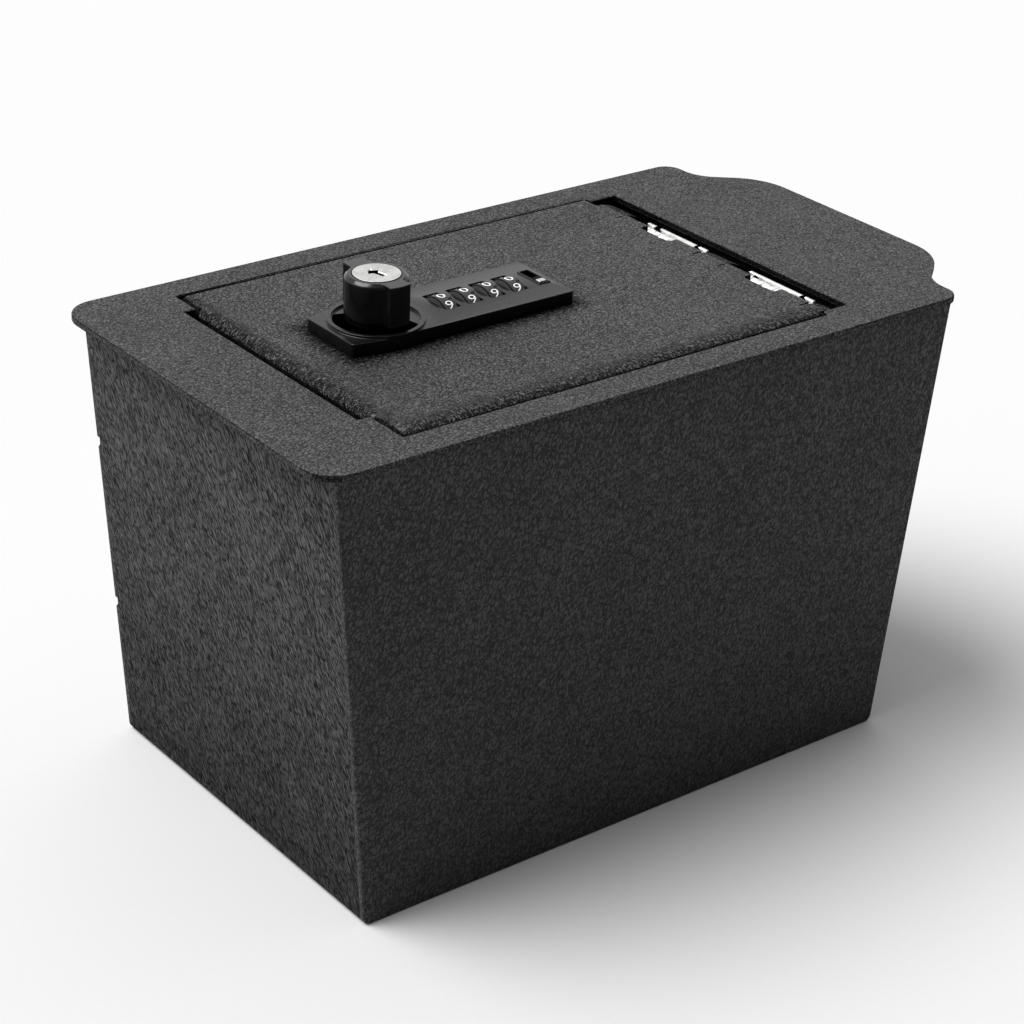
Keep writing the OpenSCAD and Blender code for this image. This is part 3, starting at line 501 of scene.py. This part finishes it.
def plated(name, colour, roughness, stretch=(1, 1, 1)):
    """Plated or brushed metal with fine lines along one direction."""
    material, tree, shader = new_material(name)
    place = object_place(tree)
    mapping = {"Vector": place, "Scale": stretch}
    drawn = add_node(tree, "ShaderNodeMapping", mapping).outputs["Vector"]
    lines = grain(tree, drawn, BRUSH_LINES, Detail=3)
    spots = span(tree, grain(tree, place, PLATE_SPOTS, Detail=4), 0.35, 0.65, 0, 1)
    bump = {"Height": lines, "Strength": 0.2, "Distance": 0.05 * MM}
    feed(tree, shader, {
        "Base Color": shades(tree, colour, spots, 0.82, 1.05), "Metallic": 1.0,
        "Roughness": span(tree, lines, 0.3, 0.7, roughness - 0.07, roughness + 0.1),
        "Normal": add_node(tree, "ShaderNodeBump", bump).outputs["Normal"]})
    return material


def paint(name, colour):
    """Matt paint with a little wear."""
    material, tree, shader = new_material(name)
    wear = grain(tree, object_place(tree), PAINT_WEAR, Detail=4)
    wear = span(tree, wear, 0.3, 0.6, 0, 1)
    feed(tree, shader, {"Base Color": shades(tree, colour, wear, 0.8, 1.0), "Roughness": 0.5})
    return material


FINISHES = {
    "coat_flat": lambda: powder_coat("powder_coat_flat", relief=0.9, contrast=0.6),
    # The lid's coat has painted highlights and shade on its creased bends and a painted shade
    # along the lock's cover.
    "coat_lid": lambda: powder_coat("powder_coat_lid", relief=0.9, contrast=0.65, bends=True),
    # Painted shade: the end walls' coat is a little darker and darkens further towards the ground.
    "coat_shaded_end": lambda: powder_coat(
        "powder_coat_shaded_end", relief=1.0, contrast=0.95, stretch=(0.62, 0.62, 3.3),
        turn=(math.radians(-28), 0, 0), painted_light_share=0.98, fall=0.62),
    # Painted shade: a darker copy of the coat for the long walls, with its grain drawn out.
    "coat_shaded_side": lambda: powder_coat(
        "powder_coat_shaded_side", relief=0.9, contrast=0.42, stretch=(1, 1, 1.8),
        turn=(0, math.radians(17), 0), painted_light_share=0.9),
    # Painted shade: a much darker copy of the coat for the tabs that curl down, away from the
    # light.
    "coat_shaded_tab": lambda: powder_coat(
        "powder_coat_shaded_tab", relief=1.0, contrast=0.95, painted_light_share=0.4),
    # Painted shade: a darker copy of the coat for the plate's flat outer sides.
    "coat_shaded_rim": lambda: powder_coat(
        "powder_coat_shaded_rim", relief=0.8, contrast=0.6, painted_light_share=0.75),
    # Painted shade: a dark copy of the coat for the plate's rounded outer corners and edges, the
    # latch strike and the lid stops.
    "coat_dark_shade": lambda: powder_coat(
        "powder_coat_dark_shade", relief=0.6, contrast=0.8, painted_light_share=0.3),
    # Painted shade: a near-black copy of the coat for faces deep in the gaps round the lid and for
    # the hinge rail.
    "coat_black_shade": lambda: powder_coat(
        "powder_coat_black_shade", relief=0.6, contrast=0.8, painted_light_share=0.12),
    "lock": lambda: casting("lock_black", finishes().lock_colour, 0.24, 0.22),
    "knob": lambda: casting("knob_black", finishes().lock_colour, 0.18, 0.3),
    # Painted shade: a near-black finish for the faces deep in the keyway and the wheels' rim
    # edges, also used on the code slider's back half.
    "keyway": lambda: casting("near_black_painted_shade", finishes().lock_colour, 0.6, 0.05),
    "wheel": lambda: casting("wheel_black", finishes().wheel_colour, 0.5, 0.25),
    # Painted light: a lighter copy of the wheels' colour for their flat sides.
    "painted_light_side": lambda: casting(
        "wheel_painted_light_side", [1.8 * part for part in finishes().wheel_colour], 0.6, 0.3),
    "steel": lambda: plated("zinc_plate", finishes().steel_colour, 0.45),
    "face": lambda: plated("key_face_nickel", finishes().face_colour, 0.3, (1, 6, 1)),
    "digit": lambda: paint("digit_white", finishes().digit_colour),
}
made_finishes = {}


def finish(name):
    """Finish of this object by its name, made once."""
    if name not in made_finishes:
        made_finishes[name] = FINISHES[name]()
    return made_finishes[name]


# Modelling


def select_nothing():
    """Leaves nothing selected, in object mode."""
    if bpy.context.object is not None and bpy.context.mode != "OBJECT":
        bpy.ops.object.mode_set(mode="OBJECT")
    bpy.ops.object.select_all(action="DESELECT")


def only(*pieces):
    """Leaves these pieces selected, with the first one active, in object mode."""
    select_nothing()
    for piece in pieces:
        piece.select_set(True)
    bpy.context.view_layer.objects.active = pieces[0]


def edit_all(piece):
    """Opens a piece in edit mode with everything selected."""
    only(piece)
    bpy.ops.object.mode_set(mode="EDIT")
    bpy.ops.mesh.select_mode(type="VERT")
    bpy.ops.mesh.select_all(action="SELECT")


def close_edit():
    """Leaves edit mode."""
    bpy.ops.object.mode_set(mode="OBJECT")


def cut_across(piece, place, direction):
    """Cuts the faces of a piece where a plane crosses them."""
    edit_all(piece)
    bpy.ops.mesh.bisect(plane_co=place, plane_no=direction)
    close_edit()


def choose_edges(piece, chosen):
    """Selects the edges of a piece whose two ends pass a test, and opens it in edit mode."""
    only(piece)
    bpy.ops.object.mode_set(mode="EDIT")
    bpy.ops.mesh.select_mode(type="EDGE")
    bpy.ops.mesh.select_all(action="DESELECT")
    bpy.ops.object.mode_set(mode="OBJECT")
    points = piece.data.vertices
    for edge in piece.data.edges:
        edge.select = chosen(*[points[index].co for index in edge.vertices])
    bpy.ops.object.mode_set(mode="EDIT")


def copy_of(node, name):
    """Clean copy of a node's mesh, with its triangles joined into flat faces."""
    piece = bpy.data.objects.new(name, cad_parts[node].data.copy())
    piece.data.name = name
    bpy.context.scene.collection.objects.link(piece)
    edit_all(piece)
    bpy.ops.mesh.remove_doubles(threshold=SAME_POINT)
    bpy.ops.mesh.dissolve_limited(angle_limit=SAME_PLANE)
    close_edit()
    return piece


def apply(piece, kind, **settings):
    """Adds a modifier to a piece and applies it."""
    only(piece)
    modifier = piece.modifiers.new(kind.title(), kind)
    for key, value in settings.items():
        setattr(modifier, key, value)
    bpy.ops.object.modifier_apply(modifier=modifier.name)


def bevel_edges(piece, width, segments=2, clamp=False):
    """Rounds the sharp edges of a piece."""
    apply(piece, "BEVEL", width=width, segments=segments, limit_method="ANGLE",
          angle_limit=math.radians(SHARP), use_clamp_overlap=clamp, miter_outer="MITER_ARC")


def smooth_faces(piece, angle=SHARP):
    """Smooths the curved faces of a piece and keeps its large faces flat."""
    only(piece)
    bpy.ops.object.shade_smooth_by_angle(angle=math.radians(angle))
    apply(piece, "WEIGHTED_NORMAL", keep_sharp=True)


def round_edges(piece, width, segments=2):
    """Rounds the sharp edges of a piece and smooths its curved faces."""
    bevel_edges(piece, width, segments)
    smooth_faces(piece)


def dress(piece, material, body, slot, *nodes):
    """Gives a piece its finish and body, and hides the nodes that it stands for; its slot is not
    used.
    """
    piece.data.materials.clear()
    piece.data.materials.append(finish(material))
    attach(piece, body)
    if nodes:
        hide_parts(*nodes)
    return piece


def dress_faces(piece, material, chosen):
    """Gives another finish to the faces of a piece that pass a test."""
    piece.data.materials.append(finish(material))
    index = len(piece.data.materials) - 1
    for face in piece.data.polygons:
        if chosen(face):
            face.material_index = index


def rounded_copy(name, node, body, slot, material, width, segments=2):
    """Copy of a node with rounded edges that stands for it."""
    piece = copy_of(node, name)
    round_edges(piece, width, segments)
    return dress(piece, material, body, slot, node)


def cut_notch(piece, level):
    """Cuts a small notch in the weld along a long wall's edge at the lock end."""
    half, depth = sizes().notch_length / 2, sizes().notch_depth
    for step in NOTCH_CUTS:
        cut_across(piece, (0, 0, level + step * half), (0, 0, 1))
    for vertex in piece.data.vertices:
        if abs(vertex.co.z - level) < NOTCH_SUNK * half and vertex.co.x < 0:
            vertex.co.x += depth


class SAFE_OT_walls(bpy.types.Operator):
    """Folded strip and long walls with their dressed welds"""

    bl_idname = "console_safe.walls"
    bl_label = "Walls"

    def execute(self, context):
        strip = copy_of("body_wrap", "body_strip")
        smooth_faces(strip)
        # Painted shade: the folded strip's coat is a little darker and darkens towards the ground.
        dress(strip, "coat_shaded_end", "safe_body", "coat", "body_wrap")
        for side in ("front", "back"):
            wall = copy_of(f"{side}_wall", f"long_wall_{side}")
            outside = max(abs(vertex.co.y) for vertex in wall.data.vertices) - TOUCH
            choose_edges(wall, lambda one, other: min(abs(one.y), abs(other.y)) > outside)
            bpy.ops.mesh.bevel(offset=sizes().weld_round, segments=3, affect="EDGES",
                               clamp_overlap=False)
            close_edit()
            if side == "back":
                # After the bevel, which would round the lines of these cuts
                for level in NOTCH_LEVELS:
                    cut_notch(wall, level)
            smooth_faces(wall)
            # Painted shade: the long walls get a darker copy of the coat.
            dress(wall, "coat_shaded_side", "safe_body", "coat", f"{side}_wall")
        return {"FINISHED"}


def narrow_opening(plate):
    """Narrows the plate's opening beside the tabs, with a short step at each side."""
    side = LID_HIGH.y + SIDE_GAP
    for place in (LID_LOW.x, TAB_STEP - STEP_HALF, TAB_STEP + STEP_HALF, LID_HIGH.x):
        cut_across(plate, (place, 0, 0), (1, 0, 0))
    for vertex in plate.data.vertices:
        if vertex.co.x > TAB_STEP and abs(abs(vertex.co.y) - side) < NEAR_SIDE:
            vertex.co.y -= math.copysign(STEP_DEPTH, vertex.co.y)


def in_opening(face):
    """Tells whether a face of the plate stands at the opening."""
    place = face.center
    return (abs(place.y) < LID_HIGH.y + OPENING_ASIDE
            and LID_LOW.x - OPENING_BEFORE < place.x < LID_HIGH.x + OPENING_BEHIND)


class SAFE_OT_plate(bpy.types.Operator):
    """Top plate and the sheet pieces under it, with rounded cut edges"""

    bl_idname = "console_safe.plate"
    bl_label = "Top plate"

    def execute(self, context):
        plate = copy_of("top_plate", "plate_sheet")
        narrow_opening(plate)
        round_edges(plate, sizes().sheet_round)
        dress(plate, "coat_flat", "safe_body", "coat", "top_plate")
        # Painted shade: the plate's rounded outer corners and edges get a dark coat, its flat
        # outer sides a less dark one, and its upright faces at the opening a near-black one.
        dress_faces(plate, "coat_dark_shade",
                    lambda face: abs(face.normal.z) < ROUNDED and not in_opening(face))
        dress_faces(plate, "coat_shaded_rim",
                    lambda face: max(abs(face.normal.x), abs(face.normal.y)) > SQUARE
                    and not in_opening(face))
        dress_faces(plate, "coat_black_shade",
                    lambda face: abs(face.normal.z) < UPRIGHT and in_opening(face))
        # Painted shade: the hinge rail gets the near-black coat, the latch strike and the lid
        # stops the dark one.
        for node, material in (("hinge_rail", "coat_black_shade"), ("latch_strike", "coat_dark_shade"),
                               ("lid_stops", "coat_dark_shade")):
            rounded_copy(f"{node}_sheet", node, "safe_body", "coat", material,
                         sizes().sheet_round)
        return {"FINISHED"}


def narrow_tabs(lid):
    """Brings the outer edges of the two outer tabs in, as they stand in the narrower opening."""
    # Two cuts past the fold keep the lid's flat top where it is when the tabs move
    for cut in TAB_CUTS:
        cut_across(lid, (TAB_FOLD + cut, 0, 0), (1, 0, 0))
    for vertex in lid.data.vertices:
        if vertex.co.x > TAB_FOLD + TAB_MOVES:
            if vertex.co.y > LID_HIGH.y - TAB_EDGE:
                vertex.co.y -= BACK_TAB_IN
            elif vertex.co.y < LID_LOW.y + TAB_EDGE:
                vertex.co.y += FRONT_TAB_IN


def off_bend(point, axis):
    """Distances of a point from the middle line of a lid bend, outwards and up."""
    return getattr(LID_LOW, axis) + LID_BEND - getattr(point, axis), point.z - (LID_TOP - LID_BEND)


def along_bend(point, axis):
    """Share of the way round a lid bend, from the flange to the top, or None off the bend."""
    side, up = off_bend(point, axis)
    if min(side, up) < -TOUCH or math.hypot(side, up) < BEND_SKIN * LID_BEND:
        return None
    return math.atan2(up, side) / (math.pi / 2)


def crumple_bend(lid, axis, cuts):
    """Cuts one bend of the lid finely along its length and gives it shallow creases across it."""
    other = "y" if axis == "x" else "x"

    def runs_along(one, two):
        return (abs(getattr(one, other) - getattr(two, other)) > LONG_EDGE
                and along_bend(one, axis) is not None and along_bend(two, axis) is not None)

    choose_edges(lid, runs_along)
    bpy.ops.mesh.subdivide(number_cuts=BEND_CUTS)
    bpy.ops.mesh.subdivide(number_cuts=cuts)
    close_edit()
    for vertex in lid.data.vertices:
        share = along_bend(vertex.co, axis)
        if share is None or vertex.co.x > TAB_FOLD:
            continue
        place = Vector(vertex.co)
        setattr(place, axis, getattr(place, axis) * CREASE_DRAW)
        place.z *= CREASE_DRAW
        crown = math.sin(math.pi * min(max(share, 0), 1)) ** 0.5
        depth = CREASE * crown * (0.5 + noise.noise(place * CREASE_NOISE))
        side, up = off_bend(vertex.co, axis)
        scale = max(depth, 0) / math.hypot(side, up)
        vertex.co.z -= up * scale
        setattr(vertex.co, axis, getattr(vertex.co, axis) + side * scale)


def in_gap(face):
    """Tells whether a face of the lid lies deep in the gap round the lid."""
    place = face.center
    if place.x > TAB_FOLD:
        return False
    in_slot = SLOT_LOW < place.y < SLOT_HIGH
    limits = {"x": SLOT_SHARE if in_slot else GAP_SHARE, "y": GAP_SHARE}
    near = [axis for axis in limits if getattr(place, axis) < getattr(LID_LOW, axis) + LID_BEND]
    shares = {axis: along_bend(place, axis) for axis in near}
    if any(share is not None and share < limits[axis] for axis, share in shares.items()):
        return True
    off_bends = all(share is None for share in shares.values())
    return off_bends and face.normal.z < (ROUNDED if near else NEARLY_FLAT)


def under_lid(face):
    """Tells whether a face of the lid is on its inner side."""
    place = face.center
    if along_bend(place, "x") is not None or along_bend(place, "y") is not None:
        return False
    return (LID_LOW.x + SHEET_SKIN < place.x < TAB_FOLD
            and LID_LOW.y + SHEET_SKIN < place.y < LID_HIGH.y - SHEET_SKIN
            and place.z < LID_TOP - BELOW_TOP)


class SAFE_OT_lid(bpy.types.Operator):
    """Lid with its folded edges and tabs"""

    bl_idname = "console_safe.lid"
    bl_label = "Lid"

    def execute(self, context):
        lid = copy_of("lid", "lid_pan")
        # The bevel comes before the cuts for the tabs and creases, so that it stays even
        bevel_edges(lid, LID_EDGE, clamp=True)
        narrow_tabs(lid)
        crumple_bend(lid, "x", cuts=1)
        crumple_bend(lid, "y", cuts=2)
        smooth_faces(lid, BEND_SMOOTH)
        dress(lid, "coat_lid", "lid", "coat", "lid")
        # Painted shade: faces deep in the gap round the lid and faces that look sideways or down
        # get a near-black coat, the curling tabs a dark one; the inner side then gets the plain
        # coat back.
        dress_faces(lid, "coat_black_shade", lambda face: in_gap(face) or face.normal.z < UPRIGHT)
        dress_faces(lid, "coat_shaded_tab", lambda face: face.center.x > TAB_FOLD
                    and TAB_CURL[0] < face.normal.z < TAB_CURL[1])
        dress_faces(lid, "coat_flat", under_lid)
        return {"FINISHED"}


class SAFE_OT_hinges(bpy.types.Operator):
    """Hinge leaves, pins and rivets"""

    bl_idname = "console_safe.hinges"
    bl_label = "Hinges"

    def execute(self, context):
        for side in ("front", "back"):
            rounded_copy(f"body_leaf_{side}", f"frame_leaf_{side}", "safe_body", "plated_steel",
                         "steel", sizes().leaf_round, segments=1)
            rounded_copy(f"cover_leaf_{side}", f"lid_leaf_{side}", "lid", "plated_steel",
                         "steel", sizes().leaf_round, segments=1)
            rounded_copy(f"pin_{side}", f"hinge_pin_{side}", "safe_body", "plated_steel",
                         "steel", sizes().steel_round)
        for name, node, body in (("rail_rivets", "frame_rivets", "safe_body"),
                                 ("leaf_rivets", "lid_rivets", "lid")):
            rounded_copy(name, node, body, "plated_steel", "steel", sizes().rivet_round,
                         segments=3)
        return {"FINISHED"}


class SAFE_OT_lock_cover(bpy.types.Operator):
    """Lock cover and the case behind it"""

    bl_idname = "console_safe.lock_cover"
    bl_label = "Lock cover"

    def execute(self, context):
        rounded_copy("cover_casting", "lock_cover", "lid", "lock_black", "lock",
                     sizes().cast_round, segments=3)
        rounded_copy("case_casting", "lock_case", "lid", "lock_black", "lock",
                     sizes().cast_round)
        return {"FINISHED"}


def dish_keyway(plug):
    """Widens the keyway and its mouth, so that its walls slope at the face."""
    cut_across(plug, (0, 0, PLUG_TOP - KEY_DISH), (0, 0, 1))
    turn = Matrix.Rotation(KEY_TURN, 2)
    for vertex in plug.data.vertices:
        flat = Vector((vertex.co.x - KNOB.x, vertex.co.y - KNOB.y))
        if flat.length < KEY_REACH:
            across, along = turn.inverted() @ flat
            more = KEY_MOUTH if vertex.co.z > PLUG_TOP - TOUCH else 1.0
            wide = turn @ Vector((across * KEY_WIDER * more, along * KEY_LONGER * (more + 1) / 2))
            vertex.co.x, vertex.co.y = KNOB.x + wide.x, KNOB.y + wide.y


def in_keyway(face):
    """Tells whether a face of the key cylinder lies in its keyway."""
    off = math.hypot(face.center.x - KNOB.x, face.center.y - KNOB.y)
    return face.center.z < PLUG_TOP - KEY_DARK_DEPTH and off < KEY_DARK


class SAFE_OT_knob(bpy.types.Operator):
    """Knob and key cylinder"""

    bl_idname = "console_safe.knob"
    bl_label = "Knob"

    def execute(self, context):
        rounded_copy("knob_casting", "knob", "knob", "lock_black", "knob",
                     sizes().cast_round, segments=3)
        plug = copy_of("key_plug", "cylinder_face")
        dish_keyway(plug)
        round_edges(plug, sizes().plug_round)
        dress(plug, "face", "key_plug", "cylinder_face", "key_plug")
        # Painted shade: the faces deep in the keyway get the near-black finish.
        dress_faces(plug, "keyway", in_keyway)
        return {"FINISHED"}


def digit_mesh(digit, number):
    """Flat mesh of one digit, upright along +Y, at the origin, sliced so that it can bend."""
    select_nothing()
    bpy.ops.object.text_add(location=(0, 0, 0))
    text = bpy.context.object
    text.name = f"digit_{number}_{digit}"
    text.data.body = str(digit)
    text.data.align_x = "CENTER"
    text.data.align_y = "CENTER"
    text.data.size = sizes().digit_height * DIGIT_TEXT
    text.data.extrude = DIGIT_RELIEF
    text.data.offset = DIGIT_THINNING
    text.data.resolution_u = DIGIT_CURVE
    bpy.ops.object.convert(target="MESH")
    piece = bpy.context.object
    edit_all(piece)
    for step in range(-(DIGIT_SLICES // 2), DIGIT_SLICES // 2 + 1):
        level = step * sizes().digit_height / DIGIT_SLICES
        bpy.ops.mesh.select_all(action="SELECT")
        bpy.ops.mesh.bisect(plane_co=(0, level, 0), plane_no=(0, 1, 0))
    close_edit()
    xs = [vertex.co.x for vertex in piece.data.vertices]
    ys = [vertex.co.y for vertex in piece.data.vertices]
    shift = Vector(((min(xs) + max(xs)) / 2, (min(ys) + max(ys)) / 2, 0))
    for vertex in piece.data.vertices:
        vertex.co -= shift
        vertex.co.x *= DIGIT_WIDTH
    return piece


def wrap_digit(piece, centre, turn):
    """Bends a flat digit round a wheel on an X axle, at a turn from the top towards the back."""
    for vertex in piece.data.vertices:
        along, up, out = vertex.co
        angle = turn + up / WHEEL_RADIUS
        radius = WHEEL_RADIUS + out + DIGIT_LIFT
        vertex.co = (centre.x + along, centre.y + radius * math.sin(angle),
                     centre.z + radius * math.cos(angle))


class SAFE_OT_wheels(bpy.types.Operator):
    """Digit wheels with their painted digits"""

    bl_idname = "console_safe.wheels"
    bl_label = "Digit wheels"

    def execute(self, context):
        for number, centre in enumerate(WHEELS, 1):
            body = f"dial_{number}"
            wheel = rounded_copy(f"wheel_{number}", f"dial_wheel_{number}", body, "dial_black",
                                 "wheel", sizes().wheel_round)
            # Painted light on the wheels' flat sides, which get a lighter copy of their colour,
            # and a painted shadow line on their rounded rim edges, which get the near-black
            # finish.
            dress_faces(wheel, "painted_light_side", lambda face: abs(face.normal.x) > WHEEL_EDGE[1])
            dress_faces(wheel, "keyway",
                        lambda face: WHEEL_EDGE[0] < abs(face.normal.x) < WHEEL_EDGE[1])
            digits = []
            for digit in range(DIGITS):
                piece = digit_mesh(digit, number)
                turn = math.radians(360 / DIGITS * digit) + sizes().digit_turn
                wrap_digit(piece, centre, turn)
                digits.append(piece)
            only(*digits)
            bpy.ops.object.join()
            digits[0].name = f"wheel_digits_{number}"
            dress(digits[0], "digit", body, "dial_black")
        return {"FINISHED"}


class SAFE_OT_inner_parts(bpy.types.Operator):
    """Code slider and the steel parts of the latch and of the inside of the lock"""

    bl_idname = "console_safe.inner_parts"
    bl_label = "Inner parts"

    def execute(self, context):
        slider = copy_of("code_slider", "slider_grip")
        cut_across(slider, (0, SLIDER_MIDDLE, 0), (0, 1, 0))
        round_edges(slider, sizes().steel_round)
        dress(slider, "face", "code_slider", "plated_steel", "code_slider")
        # The back half of the slider gets the same near-black finish, so that only its front half
        # shows as bright metal.
        dress_faces(slider, "keyway", lambda face: face.center.y > SLIDER_MIDDLE)
        for node, body in (("cam", "knob"), ("cam_nut", "knob"), ("cam_washer", "knob"),
                           ("spindle", "knob"), ("case_screws", "lid"), ("wheel_axle", "lid"),
                           ("detent_spring", "lid"), ("fence_bar", "fence_bar")):
            rounded_copy(f"{node}_steel", node, body, "plated_steel", "steel",
                         sizes().steel_round)
        return {"FINISHED"}


# Stage


def camera():
    """Camera at the photograph's place and angle."""
    right, back = Vector(CAMERA_RIGHT).normalized(), Vector(CAMERA_BACK).normalized()
    up = back.cross(right).normalized()
    right = up.cross(back)
    data = bpy.data.cameras.new("camera")
    data.sensor_width = CAMERA_SENSOR
    data.lens = CAMERA_LENS
    data.clip_start, data.clip_end = CAMERA_CLIP
    item = bpy.data.objects.new("camera", data)
    bpy.context.scene.collection.objects.link(item)
    rows = [(*row, place) for *row, place in zip(right, up, back, CAMERA_PLACE)]
    item.matrix_world = Matrix((*rows, (0, 0, 0, 1)))
    bpy.context.scene.camera = item


def sun(name, direction, strength, angle):
    """Soft light from a direction, given towards the light."""
    data = bpy.data.lights.new(name, "SUN")
    data.energy = strength
    data.angle = math.radians(angle)
    item = bpy.data.objects.new(name, data)
    item.rotation_euler = Vector(direction).to_track_quat("Z", "Y").to_euler()
    bpy.context.scene.collection.objects.link(item)


def surroundings():
    """Soft white surroundings that are bright behind the safe and dim in front of it."""
    world = bpy.data.worlds.new("studio")
    world.use_nodes = True
    tree = world.node_tree
    parts = axes(tree, add_node(tree, "ShaderNodeTexCoord").outputs["Generated"])
    depth = combined(tree, "ADD", parts["Y"], combined(tree, "MULTIPLY", parts["Z"], 0.5))
    strength = span(tree, depth, -0.4, 0.7, DIM_SIDE, BRIGHT_SIDE)
    feed(tree, tree.nodes["Background"], {"Color": (1, 1, 1, 1), "Strength": strength})
    bpy.context.scene.world = world


class SAFE_OT_stage(bpy.types.Operator):
    """Floor, lights and camera"""

    bl_idname = "console_safe.stage"
    bl_label = "Stage"

    def execute(self, context):
        select_nothing()
        bpy.ops.mesh.primitive_plane_add(size=FLOOR_SIZE, location=(0, 0, 0))
        floor = bpy.context.object
        floor.name = "floor"
        material, tree, shader = new_material("floor_paper")
        fibre = grain(tree, object_place(tree), FLOOR_FIBRES, Detail=3)
        feed(tree, shader, {
            "Base Color": shades(tree, finishes().floor_colour, fibre, 0.98, 1.02),
            "Roughness": 1.0, "Specular IOR Level": 0.0})
        floor.data.materials.append(material)
        sun("key", LIGHT_FROM, LIGHT_STRENGTH, LIGHT_ANGLE)
        surroundings()
        context.scene.view_settings.view_transform = "Standard"
        camera()
        return {"FINISHED"}


class SAFE_PT_panel(bpy.types.Panel):
    """Panel with the safe's sizes, finishes and steps"""

    bl_idname = "SAFE_PT_panel"
    bl_label = "Console safe"
    bl_space_type = "VIEW_3D"
    bl_region_type = "UI"
    bl_category = "Console safe"

    def draw(self, context):
        for group in (sizes(), finishes()):
            for name in group.__annotations__:
                self.layout.prop(group, name)
        for step in STEPS:
            self.layout.operator(step.bl_idname)


STEPS = (SAFE_OT_walls, SAFE_OT_plate, SAFE_OT_lid, SAFE_OT_hinges, SAFE_OT_lock_cover,
         SAFE_OT_knob, SAFE_OT_wheels, SAFE_OT_inner_parts, SAFE_OT_stage)
CLASSES = (SafeSizes, SafeFinishes, *STEPS, SAFE_PT_panel)


def register():
    """Registers the classes and the settings."""
    for item in CLASSES:
        bpy.utils.register_class(item)
    bpy.types.Scene.console_safe_sizes = bpy.props.PointerProperty(type=SafeSizes)
    bpy.types.Scene.console_safe_finishes = bpy.props.PointerProperty(type=SafeFinishes)


def unregister():
    """Removes the settings and the classes."""
    del bpy.types.Scene.console_safe_finishes
    del bpy.types.Scene.console_safe_sizes
    for item in reversed(CLASSES):
        bpy.utils.unregister_class(item)


def main():
    """Registers the add-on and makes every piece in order."""
    register()
    bpy.ops.console_safe.walls()
    bpy.ops.console_safe.plate()
    bpy.ops.console_safe.lid()
    bpy.ops.console_safe.hinges()
    bpy.ops.console_safe.lock_cover()
    bpy.ops.console_safe.knob()
    bpy.ops.console_safe.wheels()
    bpy.ops.console_safe.inner_parts()
    bpy.ops.console_safe.stage()


if __name__ == "__main__":
    main()
